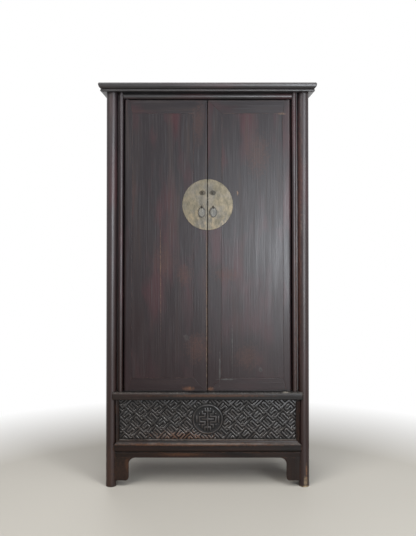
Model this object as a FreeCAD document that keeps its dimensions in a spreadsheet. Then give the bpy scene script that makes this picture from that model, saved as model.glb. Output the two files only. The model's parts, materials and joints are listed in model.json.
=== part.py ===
import FreeCAD, Part
import math
import os
import re

import Sketcher

# Round-post cabinet with splayed sides, two pivoted doors and a carved lower panel.
# Millimetres, +Z up, +X to the right of someone facing the doors, the doors look towards -Y.
# The origin is on the floor, under the middle of the cap.

sizes = {
    # Whole cabinet
    "height": 1900,
    "seat": 0.3,
    "joint": 0.2,
    "overrun": 20,
    # Moulded cap, its outer profile from the top edge down
    "cap_side_overhang": 32,
    "cap_end_overhang": 30,
    "cap_height": 40,
    "cap_rail_width": 75,
    "cap_nose": 7,
    "cap_recess": 14.5,
    "cap_curve": 23,
    "cap_lip_height": 11,
    "cap_lip_set": 8,
    "cap_panel_thickness": 14,
    "cap_tongue": 8,
    "cap_tongue_thickness": 6,
    "cap_batten_width": 34,
    "cap_batten_height": 20,
    "cap_batten_spacing": 300,
    "cap_batten_tenon": 12,
    # Round posts, wider apart at the foot than under the cap
    "top_width": 930,
    "foot_width": 979,
    "post_line": 205,
    "post_radius": 25,
    "post_tenon": 24,
    "post_tenon_height": 24,
    "tenon_thickness": 12,
    "tenon_tip": 8,
    # Lintel over the doors and jambs beside them
    "lintel_height": 30,
    "lintel_proud": 21,
    "lintel_back": 15,
    "jamb_width": 19.5,
    "jamb_flange": 9,
    "jamb_flange_set": 5,
    "jamb_gap": 4,
    # Sill under the doors
    "sill_top": 462,
    "sill_height": 37,
    "sill_end_set": 9.2,
    "sill_proud": 33,
    "sill_back": 27,
    "sill_round": 12,
    "sill_under_round": 5,
    # Lower front rail and the moulding that frames the carving
    "rail_top": 232,
    "rail_height": 64,
    "rail_proud": 22,
    "rail_back": 13,
    "rail_under_round": 14,
    "moulding_height": 28,
    "moulding_proud": 33,
    "moulding_inner_proud": 24,
    "moulding_curve": 16,
    "moulding_side": 16,
    "outer_bead": 4,
    "inner_bead": 3,
    # Carved panel
    "carving_ground_proud": 11,
    "carving_relief": 5,
    "carving_board_back": 5,
    "carving_tongue": 8,
    "fret_pitch": 13,
    "medallion_radius": 72,
    "medallion_ring": 6,
    "medallion_gap": 5,
    # Apron and brackets between the feet
    "apron_height": 26,
    "apron_proud": 17,
    "apron_thickness": 14,
    "front_bracket_width": 59,
    "side_bracket_width": 50,
    "bracket_lift": 30,
    "bracket_cove": 33,
    "bracket_round": 16,
    # Side and back rails, panels and floors
    "side_rail_thickness": 24,
    "ledge_width": 16,
    "ledge_drop": 20,
    "lower_ledge_drop": 28,
    "back_rail_height": 40,
    "panel_thickness": 12,
    "panel_tip": 14,
    "panel_tongue": 6,
    "floor_thickness": 14,
    "lower_floor_thickness": 12,
    "lid_width": 120,
    # Shelves
    "lower_shelf_top": 925,
    "upper_shelf_top": 1385,
    "shelf_thickness": 14,
    "shelf_front": 18,
    "bearer_width": 22,
    "bearer_height": 25,
    "bearer_tenon": 8,
    # Doors
    "door_thickness": 26,
    "door_head_gap": 4,
    "door_sill_gap": 1.5,
    "meeting_gap": 3.5,
    "outer_stile_width": 38,
    "meeting_stile_width": 64,
    "door_top_rail_width": 60,
    "door_bottom_rail_width": 65,
    "door_panel_thickness": 12,
    "door_groove_front": 4,
    "door_tongue": 8,
    "door_tongue_thickness": 6,
    "door_edge_flat": 1,
    "door_batten_height": 44,
    "door_batten_thickness": 12,
    "dowel_radius": 9,
    "dowel_top": 18,
    "dowel_bottom": 10,
    "dowel_clearance": 0.3,
    # Lock plate, eyes and pulls
    "plate_centre": 1347,
    "plate_radius": 118,
    "plate_thickness": 1.5,
    "lock_eye_place": 23.5,
    "lock_eye_rise": 55,
    "pull_eye_place": 27,
    "pull_eye_drop": 11,
    "eye_radius": 6.4,
    "eye_bore": 3.6,
    "eye_width": 3,
    "eye_shank": 14,
    "shank_height": 4,
    "eye_clearance": 0.3,
    "washer_width": 30,
    "washer_height": 22,
    "washer_curve": 17,
    "washer_thickness": 1.2,
    "collar_radius": 5,
    "tab_width": 34,
    "tab_height": 48,
    "tab_thickness": 2.5,
    "tab_end_width": 22,
    "tab_end_rise": 6,
    "tab_end_curve": 13,
    "tab_side_curve": 30,
    "tab_hole_play": 1.2,
    "tab_head": 2,
}

doc = FreeCAD.newDocument("cabinet")
sheet = doc.addObject("Spreadsheet::Sheet", "Sizes")
for row, (alias, amount) in enumerate(sizes.items(), 1):
    sheet.set(f"A{row}", alias)
    sheet.set(f"B{row}", str(amount))
    sheet.setAlias(f"B{row}", alias)
doc.recompute()

subparts = []
pockets = []
rounded = []


# Formulas
def in_sheet(formula):
    def point_at(word):
        return "Sizes." + word.group() if word.group() in sizes else word.group()
    return re.sub(r"[a-z_]+", point_at, str(formula))


def number(formula):
    return float(sheet.evalExpression(in_sheet(formula)))


def bind(item, prop, formula):
    item.setExpression(prop, in_sheet(formula))


cap_under = "(height - cap_height)"
sill_under = "(sill_top - sill_height)"
rail_under = "(rail_top - rail_height)"
apron_under = f"({rail_under} - apron_height)"
half_cap = "(top_width / 2 + cap_side_overhang)"
cap_reach = "(post_line + post_radius + cap_end_overhang)"
lintel_under = f"({cap_under} - lintel_height)"
back_rail_under = f"({cap_under} - back_rail_height)"
door_top = f"({lintel_under} - door_head_gap)"
door_bottom = "(sill_top + door_sill_gap)"


def post_x(level):
    spread = f"((foot_width - top_width) * ({cap_under} - {level}) / {cap_under})"
    return f"((top_width + {spread}) / 2 - post_radius)"


def post_inner(level):
    return f"({post_x(level)} - post_radius)"


def jamb_inner(level):
    return f"({post_inner(level)} - jamb_flange - jamb_width)"


def door_outer(level):
    return f"({jamb_inner(level)} - jamb_gap)"


def door_axis(level):
    return f"({door_outer(level)} - door_thickness / 2)"


half_opening = f"({post_inner('rail_top')} - moulding_side - seat)"
splay = f"atan((foot_width - top_width) / 2 / {cap_under})"


def proud(amount):
    return f"(-post_line - {amount})"


def behind(amount):
    return f"(-post_line + {amount})"


# Document objects
def block(name, x, y, z):
    piece = doc.addObject("Part::Box", name)
    for side, (low, high) in (("Length", x), ("Width", y), ("Height", z)):
        bind(piece, side, f"({high}) - ({low})")
    for axis, (low, high) in (("x", x), ("y", y), ("z", z)):
        bind(piece, "Placement.Base." + axis, low)
    return piece


def rod(name, radius, length, place, turn_axis, turn):
    piece = doc.addObject("Part::Cylinder", name)
    bind(piece, "Radius", radius)
    bind(piece, "Height", length)
    turned = FreeCAD.Rotation(FreeCAD.Vector(*turn_axis), 1)
    piece.Placement = FreeCAD.Placement(FreeCAD.Vector(), turned)
    bind(piece, "Placement.Rotation.Angle", turn)
    for axis, formula in zip("xyz", place):
        bind(piece, "Placement.Base." + axis, formula)
    return piece


def fuse(name, *pieces):
    piece = doc.addObject("Part::MultiFuse", name)
    piece.Shapes = list(pieces)
    return piece


def cut(name, base, tool):
    piece = doc.addObject("Part::Cut", name)
    piece.Base = base
    piece.Tool = tool
    return piece


def mirrored(name, source, normal=(1, 0, 0)):
    piece = doc.addObject("Part::Mirroring", name)
    piece.Source = source
    piece.Normal = FreeCAD.Vector(*normal)
    return piece


def group(name, *pieces):
    piece = doc.addObject("Part::Compound", name)
    piece.Links = list(pieces)
    return piece


def subpart(label, piece):
    piece.Label = label
    subparts.append(piece)
    return piece


def subpart_pair(label, right_piece):
    subpart("right_" + label, right_piece)
    subpart("left_" + label, mirrored("left_" + label, right_piece))


# Sketches: an outline is a closed run of corners (x, y), and a corner (x, y, radius, turn) is
# reached by an arc of under a half circle, anticlockwise for a turn of 1 and clockwise for -1
def arc_between(start, end, radius, turn):
    chord = end - start
    rise = math.sqrt(max(radius ** 2 - (chord.Length / 2) ** 2, 0))
    left = FreeCAD.Vector(-chord.y, chord.x, 0).normalize()
    centre = (start + end) / 2 + left * rise * turn
    first, last = (start, end) if turn > 0 else (end, start)
    angles = [math.atan2(spot.y - centre.y, spot.x - centre.x) for spot in (first, last)]
    if angles[1] < angles[0]:
        angles[1] += 2 * math.pi
    return Part.ArcOfCircle(Part.Circle(centre, FreeCAD.Vector(0, 0, 1), radius), *angles)


def add_outline(sketch, outline):
    first = sketch.GeometryCount
    count = len(outline)
    spots = [FreeCAD.Vector(number(corner[0]), number(corner[1]), 0) for corner in outline]
    ends = []
    for index, corner in enumerate(outline):
        if len(corner) == 2:
            sketch.addGeometry(Part.LineSegment(spots[index - 1], spots[index]))
            ends.append((1, 2))
        else:
            sketch.addGeometry(arc_between(spots[index - 1], spots[index], number(corner[2]), corner[3]))
            ends.append((1, 2) if corner[3] > 0 else (2, 1))
    for index, corner in enumerate(outline):
        edge = first + index
        after = (index + 1) % count
        sketch.addConstraint(Sketcher.Constraint("Coincident", edge, ends[index][1],
                                                 first + after, ends[after][0]))
        held = [("DistanceX", (edge, ends[index][1]), spots[index].x, corner[0]),
                ("DistanceY", (edge, ends[index][1]), spots[index].y, corner[1])]
        if len(corner) == 4:
            held.append(("Radius", (edge,), number(corner[2]), corner[2]))
        for kind, target, amount, formula in held:
            place = sketch.addConstraint(Sketcher.Constraint(kind, *target, amount))
            title = f"{kind}_{edge}"
            sketch.renameConstraint(place, title)
            bind(sketch, "Constraints." + title, formula)


plane_signs = {"XY_Plane": 1, "XZ_Plane": -1, "YZ_Plane": 1}


def profile(piece, plane_role, outlines, low, high):
    sketch = piece.newObject("Sketcher::SketchObject", piece.Name + "_sketch")
    plane = [item for item in piece.Origin.OriginFeatures if item.Role == plane_role][0]
    sketch.AttachmentSupport = (plane, "")
    sketch.MapMode = "FlatFace"
    bind(sketch, "AttachmentOffset.Base.z", f"{plane_signs[plane_role]} * (({low}) + ({high})) / 2")
    for outline in outlines:
        add_outline(sketch, outline)
    return sketch


def swept(piece, kind, plane_role, outlines, low, high):
    sketch = profile(piece, plane_role, outlines, low, high)
    feature = piece.newObject("PartDesign::" + kind, piece.Name + "_" + kind.lower())
    feature.Profile = sketch
    feature.SideType = "Symmetric"
    bind(feature, "Length", f"({high}) - ({low})")
    return feature


def body(name, plane_role, outline, low, high):
    piece = doc.addObject("PartDesign::Body", name)
    swept(piece, "Pad", plane_role, [outline], low, high)
    return piece


def add_pad(piece, plane_role, outline, low, high):
    swept(piece, "Pad", plane_role, [outline], low, high)


def add_pocket(piece, plane_role, outlines, low, high):
    before = piece.Tip
    feature = swept(piece, "Pocket", plane_role, outlines, low, high)
    pockets.append((before, feature))


def rectangle(x, y):
    return [(x[0], y[0]), (x[1], y[0]), (x[1], y[1]), (x[0], y[1])]


# Posts
def post_solid(name, grow, line):
    low = "(-overrun)"
    length = f"({cap_under} + 2 * overrun) / cos({splay})"
    return rod(name, f"post_radius + {grow}", length, (post_x(low), line, low), (0, 1, 0), f"-{splay}")


def tenon_box(name, grow, level_low, level_high, direction):
    middle = f"(({level_low} + {level_high}) / 2)"
    half_height = f"(({level_high} - {level_low}) / 4 + {grow})"
    half_thickness = f"(tenon_thickness / 2 + {grow})"
    heights = (f"{middle} - {half_height}", f"{middle} + {half_height}")
    if direction == "side":
        across = (f"{post_x(middle)} - {half_thickness}", f"{post_x(middle)} + {half_thickness}")
        return block(name, across, (f"-(post_line - tenon_tip + {grow})", f"post_line - tenon_tip + {grow}"),
                     heights)
    reach = f"({post_x(middle)} - tenon_tip + {grow})"
    line = "-post_line" if direction == "front" else "post_line"
    return block(name, (f"-{reach}", reach), (f"{line} - {half_thickness}", f"{line} + {half_thickness}"),
                 heights)


def bearer_tenon_box(name, grow, top):
    middle = f"({top} - shelf_thickness - bearer_height / 2)"
    centre = f"({post_x(middle)} - panel_thickness / 2 - seat - bearer_tenon / 2)"
    half_thickness = f"(bearer_tenon / 2 + {grow})"
    half_height = f"(bearer_height / 3 + {grow})"
    reach = f"(post_line - tenon_tip + {grow})"
    return block(name, (f"{centre} - {half_thickness}", f"{centre} + {half_thickness}"),
                 (f"-{reach}", reach), (f"{middle} - {half_height}", f"{middle} + {half_height}"))


side_panel_levels = {"side_panel": ("(sill_top - panel_tongue)", f"({cap_under} + panel_tongue)"),
                     "lower_side_panel": ("(rail_top - panel_tongue)", f"({sill_under} + panel_tongue)")}
back_panel_levels = {"back_panel": ("(sill_top - panel_tongue)", f"({back_rail_under} + panel_tongue)"),
                     "lower_back_panel": ("(rail_top - panel_tongue)", f"({sill_under} + panel_tongue)")}
shelf_levels = {"lower_shelf": "lower_shelf_top", "upper_shelf": "upper_shelf_top"}


def side_slab(name, level_low, level_high, grow):
    half = f"(panel_thickness / 2 + {grow})"
    low = f"({level_low} - {grow})"
    high = f"({level_high} + {grow})"
    outline = [(f"{post_x(low)} - {half}", low), (f"{post_x(low)} + {half}", low),
               (f"{post_x(high)} + {half}", high), (f"{post_x(high)} - {half}", high)]
    reach = f"(post_line - panel_tip + {grow})"
    return body(name, "XZ_Plane", outline, f"-{reach}", reach)


def back_slab(name, level_low, level_high, grow):
    low = f"({level_low} - {grow})"
    high = f"({level_high} + {grow})"
    foot = f"({post_x(low)} - panel_tip + {grow})"
    head = f"({post_x(high)} - panel_tip + {grow})"
    outline = [(f"-{foot}", low), (foot, low), (head, high), (f"-{head}", high)]
    half = f"(panel_thickness / 2 + {grow})"
    return body(name, "XZ_Plane", outline, f"post_line - {half}", f"post_line + {half}")


rail_levels = {"middle": (sill_under, "sill_top"), "bottom": (rail_under, "rail_top")}

front_right_scribe = post_solid("front_right_scribe", "seat", "-post_line")
back_right_scribe = post_solid("back_right_scribe", "seat", "post_line")
right_scribe = fuse("right_scribe", front_right_scribe, back_right_scribe)
front_scribe = fuse("front_scribe", front_right_scribe, mirrored("front_left_scribe", front_right_scribe))
back_scribe = fuse("back_scribe", back_right_scribe, mirrored("back_left_scribe", back_right_scribe))

side_grooves = fuse("side_grooves", *[side_slab(name + "_groove", *levels, "seat")
                                      for name, levels in side_panel_levels.items()])
back_grooves = fuse("back_grooves", *[back_slab(name + "_groove", *levels, "seat")
                                      for name, levels in back_panel_levels.items()])


def posts():
    side_mortises = [tenon_box(f"side_{name}_mortise", "seat", *levels, "side")
                     for name, levels in rail_levels.items()]
    side_mortises += [bearer_tenon_box(name + "_bearer_mortise", "seat", top)
                      for name, top in shelf_levels.items()]
    front_mortises = [tenon_box(f"front_{name}_mortise", "seat", *levels, "front")
                      for name, levels in rail_levels.items()]
    back_levels = dict(rail_levels, upper=(back_rail_under, cap_under))
    back_mortises = [tenon_box(f"back_{name}_mortise", "seat", *levels, "back")
                     for name, levels in back_levels.items()]
    for place, line, own in (("front", "-post_line", front_mortises),
                             ("back", "post_line", back_mortises + [back_grooves])):
        reach = "(post_radius + overrun)"
        slab = block(place + "_post_slab", ("0", "foot_width"), (f"{line} - {reach}", f"{line} + {reach}"),
                     ("0", cap_under))
        turned = doc.addObject("Part::Common", place + "_post_round")
        turned.Base = post_solid(place + "_post_rod", "0", line)
        turned.Tool = slab
        head = block(place + "_post_tenon", (f"{post_x(cap_under)} - post_tenon / 2",
                                             f"{post_x(cap_under)} + post_tenon / 2"),
                     (f"{line} - post_tenon / 2", f"{line} + post_tenon / 2"),
                     (f"{cap_under} - overrun", f"{cap_under} + post_tenon_height"))
        blank = fuse(place + "_post_blank", turned, head)
        mortises = fuse(place + "_post_mortises", side_grooves, *side_mortises, *own)
        right = subpart(f"{place}_right_post", cut(place + "_right_post", blank, mortises))
        subpart(f"{place}_left_post", mirrored(place + "_left_post", right))


# Cap
def cap_profile(edge, inward):
    turn = 1 if inward > 0 else -1

    def corner(inset, level, *bend):
        place = f"({edge} + {inset})" if inward > 0 else f"({edge} - {inset})"
        return (place, level) + bend
    lip_top = f"({cap_under} + cap_lip_height)"
    groove_low = "(height - cap_panel_thickness - seat)"
    groove_high = "(height - cap_panel_thickness + cap_tongue_thickness + seat)"
    groove_depth = "(cap_rail_width - cap_tongue - seat)"
    lip_root = "(cap_lip_set + cap_lip_height / 2)"
    return [corner("cap_nose", "height"),
            corner("0", "height - cap_nose", "cap_nose", turn),
            corner("cap_recess", lip_top, "cap_curve", turn),
            corner(lip_root, lip_top),
            corner("cap_lip_set", f"{lip_top} - cap_lip_height / 2", "cap_lip_height / 2", turn),
            corner(lip_root, cap_under, "cap_lip_height / 2", turn),
            corner("cap_rail_width", cap_under),
            corner("cap_rail_width", groove_low),
            corner(groove_depth, groove_low),
            corner(groove_depth, groove_high),
            corner("cap_rail_width", groove_high),
            corner("cap_rail_width", "height")]


def cap_mitre(long_edge, short_edge, swap):
    outer = f"({long_edge} - joint / 2)"
    inner = f"({outer} - cap_rail_width - overrun)"
    outside = f"({short_edge} + overrun)"
    inside = f"({short_edge} - cap_rail_width - overrun)"
    beyond = f"({long_edge} + 2 * overrun)"
    ends = []
    for along in ("", "-"):
        corners = [(f"{along}({outer} + overrun)", outside), (f"{along}{beyond}", outside),
                   (f"{along}{beyond}", inside), (f"{along}{inner}", inside)]
        ends.append([(y, x) if swap else (x, y) for x, y in corners])
    return ends


def cap():
    low = f"({cap_under} - overrun)"
    high = "(height + overrun)"
    back = body("cap_back_blank", "YZ_Plane", cap_profile(cap_reach, -1), f"-{half_cap}", half_cap)
    add_pocket(back, "XY_Plane", cap_mitre(half_cap, cap_reach, False), low, high)
    right = body("cap_right_blank", "XZ_Plane", cap_profile(half_cap, -1), f"-{cap_reach}", cap_reach)
    add_pocket(right, "XY_Plane", cap_mitre(cap_reach, half_cap, True), low, high)

    mortises = []
    for side in ("", "-"):
        for place in ("", "-"):
            centre = f"{side}{post_x(cap_under)}"
            line = f"{place}post_line"
            half = "(post_tenon / 2 + seat)"
            mortises.append(block("cap_post_mortise", (f"{centre} - {half}", f"{centre} + {half}"),
                                  (f"{line} - {half}", f"{line} + {half}"),
                                  (f"{cap_under} - overrun", f"{cap_under} + post_tenon_height + seat")))
    battens = {grow: [cap_batten_tenon(f"cap_batten_tenon_{grow}", side, grow) for side in ("", "-")]
               for grow in ("0", "seat")}
    hollows = fuse("cap_hollows", *mortises, *battens["seat"], side_grooves,
                   mirrored("left_side_grooves", side_grooves))
    subpart("top_back_rail", cut("top_back_rail", back, hollows))
    subpart("top_front_rail", cut("top_front_rail", mirrored("cap_front_blank", back, (0, 1, 0)), hollows))
    subpart("top_right_rail", cut("top_right_rail", right, hollows))
    subpart("top_left_rail", cut("top_left_rail", mirrored("cap_left_blank", right), hollows))

    inset = "(cap_rail_width + joint)"
    panel_x = f"({half_cap} - {inset})"
    panel_y = f"({cap_reach} - {inset})"
    panel_low = "(height - cap_panel_thickness)"
    panel = body("top_panel", "XY_Plane", rectangle((f"-{panel_x}", panel_x), (f"-{panel_y}", panel_y)),
                 panel_low, "height")
    tongue_x = f"({panel_x} + cap_tongue)"
    tongue_y = f"({panel_y} + cap_tongue)"
    add_pad(panel, "XY_Plane", rectangle((f"-{tongue_x}", tongue_x), (f"-{tongue_y}", tongue_y)),
            panel_low, f"{panel_low} + cap_tongue_thickness")
    subpart("top_panel", panel)

    bars = []
    for side, tenon in zip(("", "-"), battens["0"]):
        centre = f"{side}(cap_batten_spacing / 2)"
        half = "(cap_batten_width / 2)"
        bar = block("cap_batten_bar", (f"{centre} - {half}", f"{centre} + {half}"), (f"-{panel_y}", panel_y),
                    (f"{panel_low} - seat - cap_batten_height", f"{panel_low} - seat"))
        bars.append(fuse("cap_batten", bar, tenon))
    subpart("top_battens", group("top_battens", *bars))


def cap_batten_tenon(name, side, grow):
    centre = f"{side}(cap_batten_spacing / 2)"
    reach = f"({cap_reach} - cap_rail_width - joint + cap_batten_tenon + {grow})"
    half = f"(cap_batten_width / 3 + {grow})"
    middle = "(height - cap_panel_thickness - seat - cap_batten_height / 2)"
    rise = f"(cap_batten_height / 5 + {grow})"
    return block(name, (f"{centre} - {half}", f"{centre} + {half}"), (f"-{reach}", reach),
                 (f"{middle} - {rise}", f"{middle} + {rise}"))


# Front frame
def door_dowels(grow):
    top = rod("door_top_dowel", f"dowel_radius + {grow}",
              f"(dowel_top + overrun + {grow}) / cos({splay})",
              (door_axis(f"({door_top} - overrun)"), "-post_line", f"{door_top} - overrun"),
              (0, 1, 0), f"-{splay}")
    low_end = f"({door_bottom} - dowel_bottom - {grow})"
    bottom = rod("door_bottom_dowel", f"dowel_radius + {grow}",
                 f"(dowel_bottom + overrun + {grow}) / cos({splay})",
                 (door_axis(low_end), "-post_line", low_end), (0, 1, 0), f"-{splay}")
    return [top, bottom]


def lintel(sockets):
    nose = "(lintel_height / 2)"
    front = proud(f"(lintel_proud - {nose})")
    outline = [(behind("lintel_back"), lintel_under), (behind("lintel_back"), cap_under),
               (front, cap_under), (proud("lintel_proud"), f"{cap_under} - {nose}", nose, 1),
               (front, lintel_under, nose, 1)]
    reach = f"({jamb_inner(cap_under)} - joint)"
    bar = body("lintel_bar", "YZ_Plane", outline, f"-{reach}", reach)
    subpart("lintel", cut("lintel", bar, sockets))


def jambs():
    nose = "(jamb_width / 2)"
    low = "(sill_top + seat)"
    high = f"({cap_under} - seat)"
    outline = [("0", behind("lintel_back")), ("0", proud(f"(lintel_proud - {nose})")),
               (nose, proud("lintel_proud"), nose, 1),
               ("jamb_width", proud(f"(lintel_proud - {nose})"), nose, 1),
               ("jamb_width", behind("jamb_flange_set")),
               ("jamb_width + jamb_flange - seat", behind("jamb_flange_set")),
               ("jamb_width + jamb_flange - seat", behind("lintel_back"))]
    strip = body("right_jamb_strip", "XY_Plane", outline, "-overrun",
                 f"({high} - {low}) / cos({splay}) + overrun")
    strip.Placement = FreeCAD.Placement(FreeCAD.Vector(), FreeCAD.Rotation(FreeCAD.Vector(0, 1, 0), 1))
    bind(strip, "Placement.Rotation.Angle", f"-{splay}")
    bind(strip, "Placement.Base.x", jamb_inner(low))
    bind(strip, "Placement.Base.z", low)
    right = doc.addObject("Part::Common", "right_jamb")
    right.Base = strip
    right.Tool = block("jamb_slab", ("0", "foot_width"), (f"-{cap_reach}", "0"), (low, high))
    subpart_pair("jamb", right)


def sill(sockets):
    front = proud("sill_proud")
    outline = [(behind("sill_back"), "sill_top"), (proud("(sill_proud - sill_round)"), "sill_top"),
               (front, "sill_top - sill_round", "sill_round", 1),
               (front, f"{sill_under} + sill_under_round"),
               (proud("(sill_proud - sill_under_round)"), sill_under, "sill_under_round", 1),
               (behind("sill_back"), sill_under)]
    inner = post_inner(sill_under)
    bar = body("sill_bar", "YZ_Plane", outline, f"-{inner}", inner)
    lap_outline = [("-post_line", "sill_top")] + outline[1:5] + [("-post_line", sill_under)]
    lap = f"({post_x('(sill_top - sill_height / 2)')} - sill_end_set)"
    add_pad(bar, "YZ_Plane", lap_outline, f"-{lap}", lap)
    scribed = cut("sill_scribed", bar, front_scribe)
    tenoned = fuse("sill_tenoned", scribed, tenon_box("sill_tenon", "0", *rail_levels["middle"], "front"))
    hollows = fuse("sill_hollows", sockets, carving_groove)
    subpart("door_sill", cut("door_sill", tenoned, hollows))


def bottom_rail():
    moulding_low = "(rail_top - moulding_height)"
    root = proud("(moulding_proud - outer_bead)")
    inner_root = proud("(moulding_inner_proud - inner_bead)")
    front = [(inner_root, "rail_top"),
             (proud("moulding_inner_proud"), "rail_top - inner_bead", "inner_bead", 1),
             (inner_root, "rail_top - 2 * inner_bead", "inner_bead", 1),
             (root, f"{moulding_low} + 2 * outer_bead", "moulding_curve", -1),
             (proud("moulding_proud"), f"{moulding_low} + outer_bead", "outer_bead", 1),
             (root, moulding_low, "outer_bead", 1)]
    outline = [(behind("rail_back"), "rail_top")] + front
    outline += [(proud("rail_proud"), moulding_low),
                (proud("rail_proud"), f"{rail_under} + rail_under_round"),
                (proud("(rail_proud - rail_under_round)"), rail_under, "rail_under_round", 1),
                (behind("rail_back"), rail_under)]
    reach = f"({post_x('rail_top')} - joint)"
    bar = body("bottom_rail_bar", "YZ_Plane", outline, f"-{reach}", reach)
    lap = f"({half_opening} + moulding_height)"
    ends = []
    for side in ("", "-"):
        ends.append([(f"{side}({half_opening} - overrun + joint)", "rail_top + overrun"),
                     (f"{side}({lap} + joint)", moulding_low),
                     (f"{side}({lap} + joint)", f"{moulding_low} - seat"),
                     (f"{side}({lap} + 2 * overrun)", f"{moulding_low} - seat"),
                     (f"{side}({lap} + 2 * overrun)", "rail_top + overrun")])
    add_pocket(bar, "XZ_Plane", ends, proud("(moulding_proud + overrun)"), proud("carving_ground_proud"))
    scribed = cut("bottom_rail_scribed", bar, front_scribe)
    tenon = tenon_box("bottom_rail_tenon", "0", *rail_levels["bottom"], "front")
    subpart("bottom_rail", cut("bottom_rail", fuse("bottom_rail_tenoned", scribed, tenon), carving_groove))


def panel_mouldings():
    back = proud("(carving_ground_proud + seat)")
    root = proud("(moulding_inner_proud - inner_bead)")
    edge = f"({half_opening} + moulding_side)"
    outline = [(half_opening, back), (half_opening, root),
               (f"{half_opening} + inner_bead", proud("moulding_inner_proud"), "inner_bead", 1),
               (f"{half_opening} + 2 * inner_bead", root, "inner_bead", 1),
               (edge, proud("(moulding_inner_proud + joint)")), (edge, back)]
    low = "(rail_top - moulding_height)"
    strip = body("right_moulding_strip", "XY_Plane", outline, low, f"{sill_under} - seat")
    foot = [(f"{half_opening} - overrun", "rail_top + overrun + joint"),
            (f"{half_opening} + moulding_height", f"{low} + joint"),
            (f"{half_opening} + moulding_height", f"{low} - overrun"),
            (f"{half_opening} - overrun", f"{low} - overrun")]
    add_pocket(strip, "XZ_Plane", [foot], proud("(moulding_proud + overrun)"), "-post_line")
    right = cut("right_moulding", strip, front_scribe)
    subpart("panel_mouldings", group("panel_mouldings", right, mirrored("left_moulding", right)))


def apron_and_brackets():
    front = proud("apron_proud")
    back = proud("(apron_proud - apron_thickness)")
    reach = post_x(apron_under)
    board = body("apron_board", "XZ_Plane",
                 rectangle((f"-{reach}", reach), (apron_under, f"{rail_under} - seat")), front, back)
    subpart("front_apron", cut("front_apron", board, front_scribe))
    inner = f"({post_inner(apron_under)} - front_bracket_width)"
    outline = bracket_outline(inner, post_x("bracket_lift"))
    board = body("right_bracket_board", "XZ_Plane", outline, front, back)
    subpart_pair("bracket", cut("right_bracket", board, front_scribe))

    half = "(apron_thickness / 2)"
    middle = post_x(apron_under)
    thickness = (f"{middle} - {half}", f"{middle} + {half}")
    board = block("side_apron_board", thickness, ("-post_line", "post_line"),
                  (apron_under, f"{rail_under} - seat"))
    subpart_pair("side_apron", cut("right_side_apron", board, right_scribe))
    inner = "(post_line - post_radius - side_bracket_width)"
    outline = bracket_outline(inner, "post_line")
    board = body("side_bracket_board", "YZ_Plane", outline, *thickness)
    right_back = cut("right_back_bracket", board, right_scribe)
    right_front = mirrored("right_front_bracket", right_back, (0, 1, 0))
    left = [mirrored("left_side_bracket", piece) for piece in (right_back, right_front)]
    subpart("side_brackets", group("side_brackets", right_back, right_front, *left))


def bracket_outline(inner, outer):
    head = f"({apron_under} - seat)"
    return [(outer, head), (f"{inner} - bracket_cove", head),
            (inner, f"{head} - bracket_cove", "bracket_cove", -1),
            (inner, "bracket_lift + bracket_round"),
            (f"{inner} + bracket_round", "bracket_lift", "bracket_round", 1), (outer, "bracket_lift")]


# Side and back frames
def side_frame():
    half = "(side_rail_thickness / 2)"
    for name, front_back, ledge in (("middle", "sill_back", "ledge_drop"),
                                    ("bottom", "rail_back", "lower_ledge_drop")):
        low, high = rail_levels[name]
        middle = post_x(f"(({low} + {high}) / 2)")
        bar = block(name + "_side_bar", (f"{middle} - {half}", f"{middle} + {half}"),
                    ("-post_line", "post_line"), (low, high))
        step = block(name + "_side_ledge", (f"{middle} - {half} - ledge_width", middle),
                     (behind(f"({front_back} + seat)"), f"post_line - {half} - seat"),
                     (low, f"{high} - {ledge}"))
        scribed = cut(name + "_side_scribed", fuse(name + "_side_blank", bar, step), right_scribe)
        tenoned = fuse(name + "_side_tenoned", scribed,
                       tenon_box(name + "_side_tenon", "0", low, high, "side"))
        subpart_pair(name + "_side_rail", cut(f"right_{name}_side_rail", tenoned, side_grooves))
    for name, levels in side_panel_levels.items():
        subpart_pair(name, side_slab("right_" + name, *levels, "0"))


def back_frame():
    levels = dict(rail_levels, upper=(back_rail_under, cap_under))
    for name, (low, high) in levels.items():
        reach = post_x(high)
        half = "(side_rail_thickness / 2)"
        top = f"{high} - seat" if name == "upper" else high
        bar = block(name + "_back_bar", (f"-{reach}", reach), (f"post_line - {half}", f"post_line + {half}"),
                    (low, top))
        scribed = cut(name + "_back_scribed", bar, back_scribe)
        tenoned = fuse(name + "_back_tenoned", scribed,
                       tenon_box(name + "_back_tenon", "0", low, high, "back"))
        subpart(f"back_{name}_rail", cut(f"back_{name}_rail", tenoned, back_grooves))
    for name, slab_levels in back_panel_levels.items():
        subpart(name, back_slab(name, *slab_levels, "0"))


# Shelves and floors
def shelves():
    bearers = []
    for name, top in shelf_levels.items():
        under = f"({top} - shelf_thickness)"
        reach = f"({post_x(top)} - panel_thickness / 2 - 2 * seat)"
        board = block(name + "_board", (f"-{reach}", reach),
                      (behind("shelf_front"), "post_line - panel_thickness / 2 - seat"), (under, top))
        notches = fuse(name + "_notches", front_scribe, back_scribe)
        subpart(name, cut(name, board, notches))
        outer = f"({post_x(under)} - panel_thickness / 2 - seat)"
        bar = block(name + "_bearer_bar", (f"{outer} - bearer_width", outer),
                    (behind("(lintel_back + seat)"), "post_line - panel_thickness / 2 - seat"),
                    (f"{under} - seat - bearer_height", f"{under} - seat"))
        scribed = cut(name + "_bearer_scribed", bar, right_scribe)
        right = fuse(name + "_bearer", scribed, bearer_tenon_box(name + "_bearer_tenon", "0", top))
        bearers += [right, mirrored(name + "_left_bearer", right)]
    subpart("shelf_bearers", group("shelf_bearers", *bearers))


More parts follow.
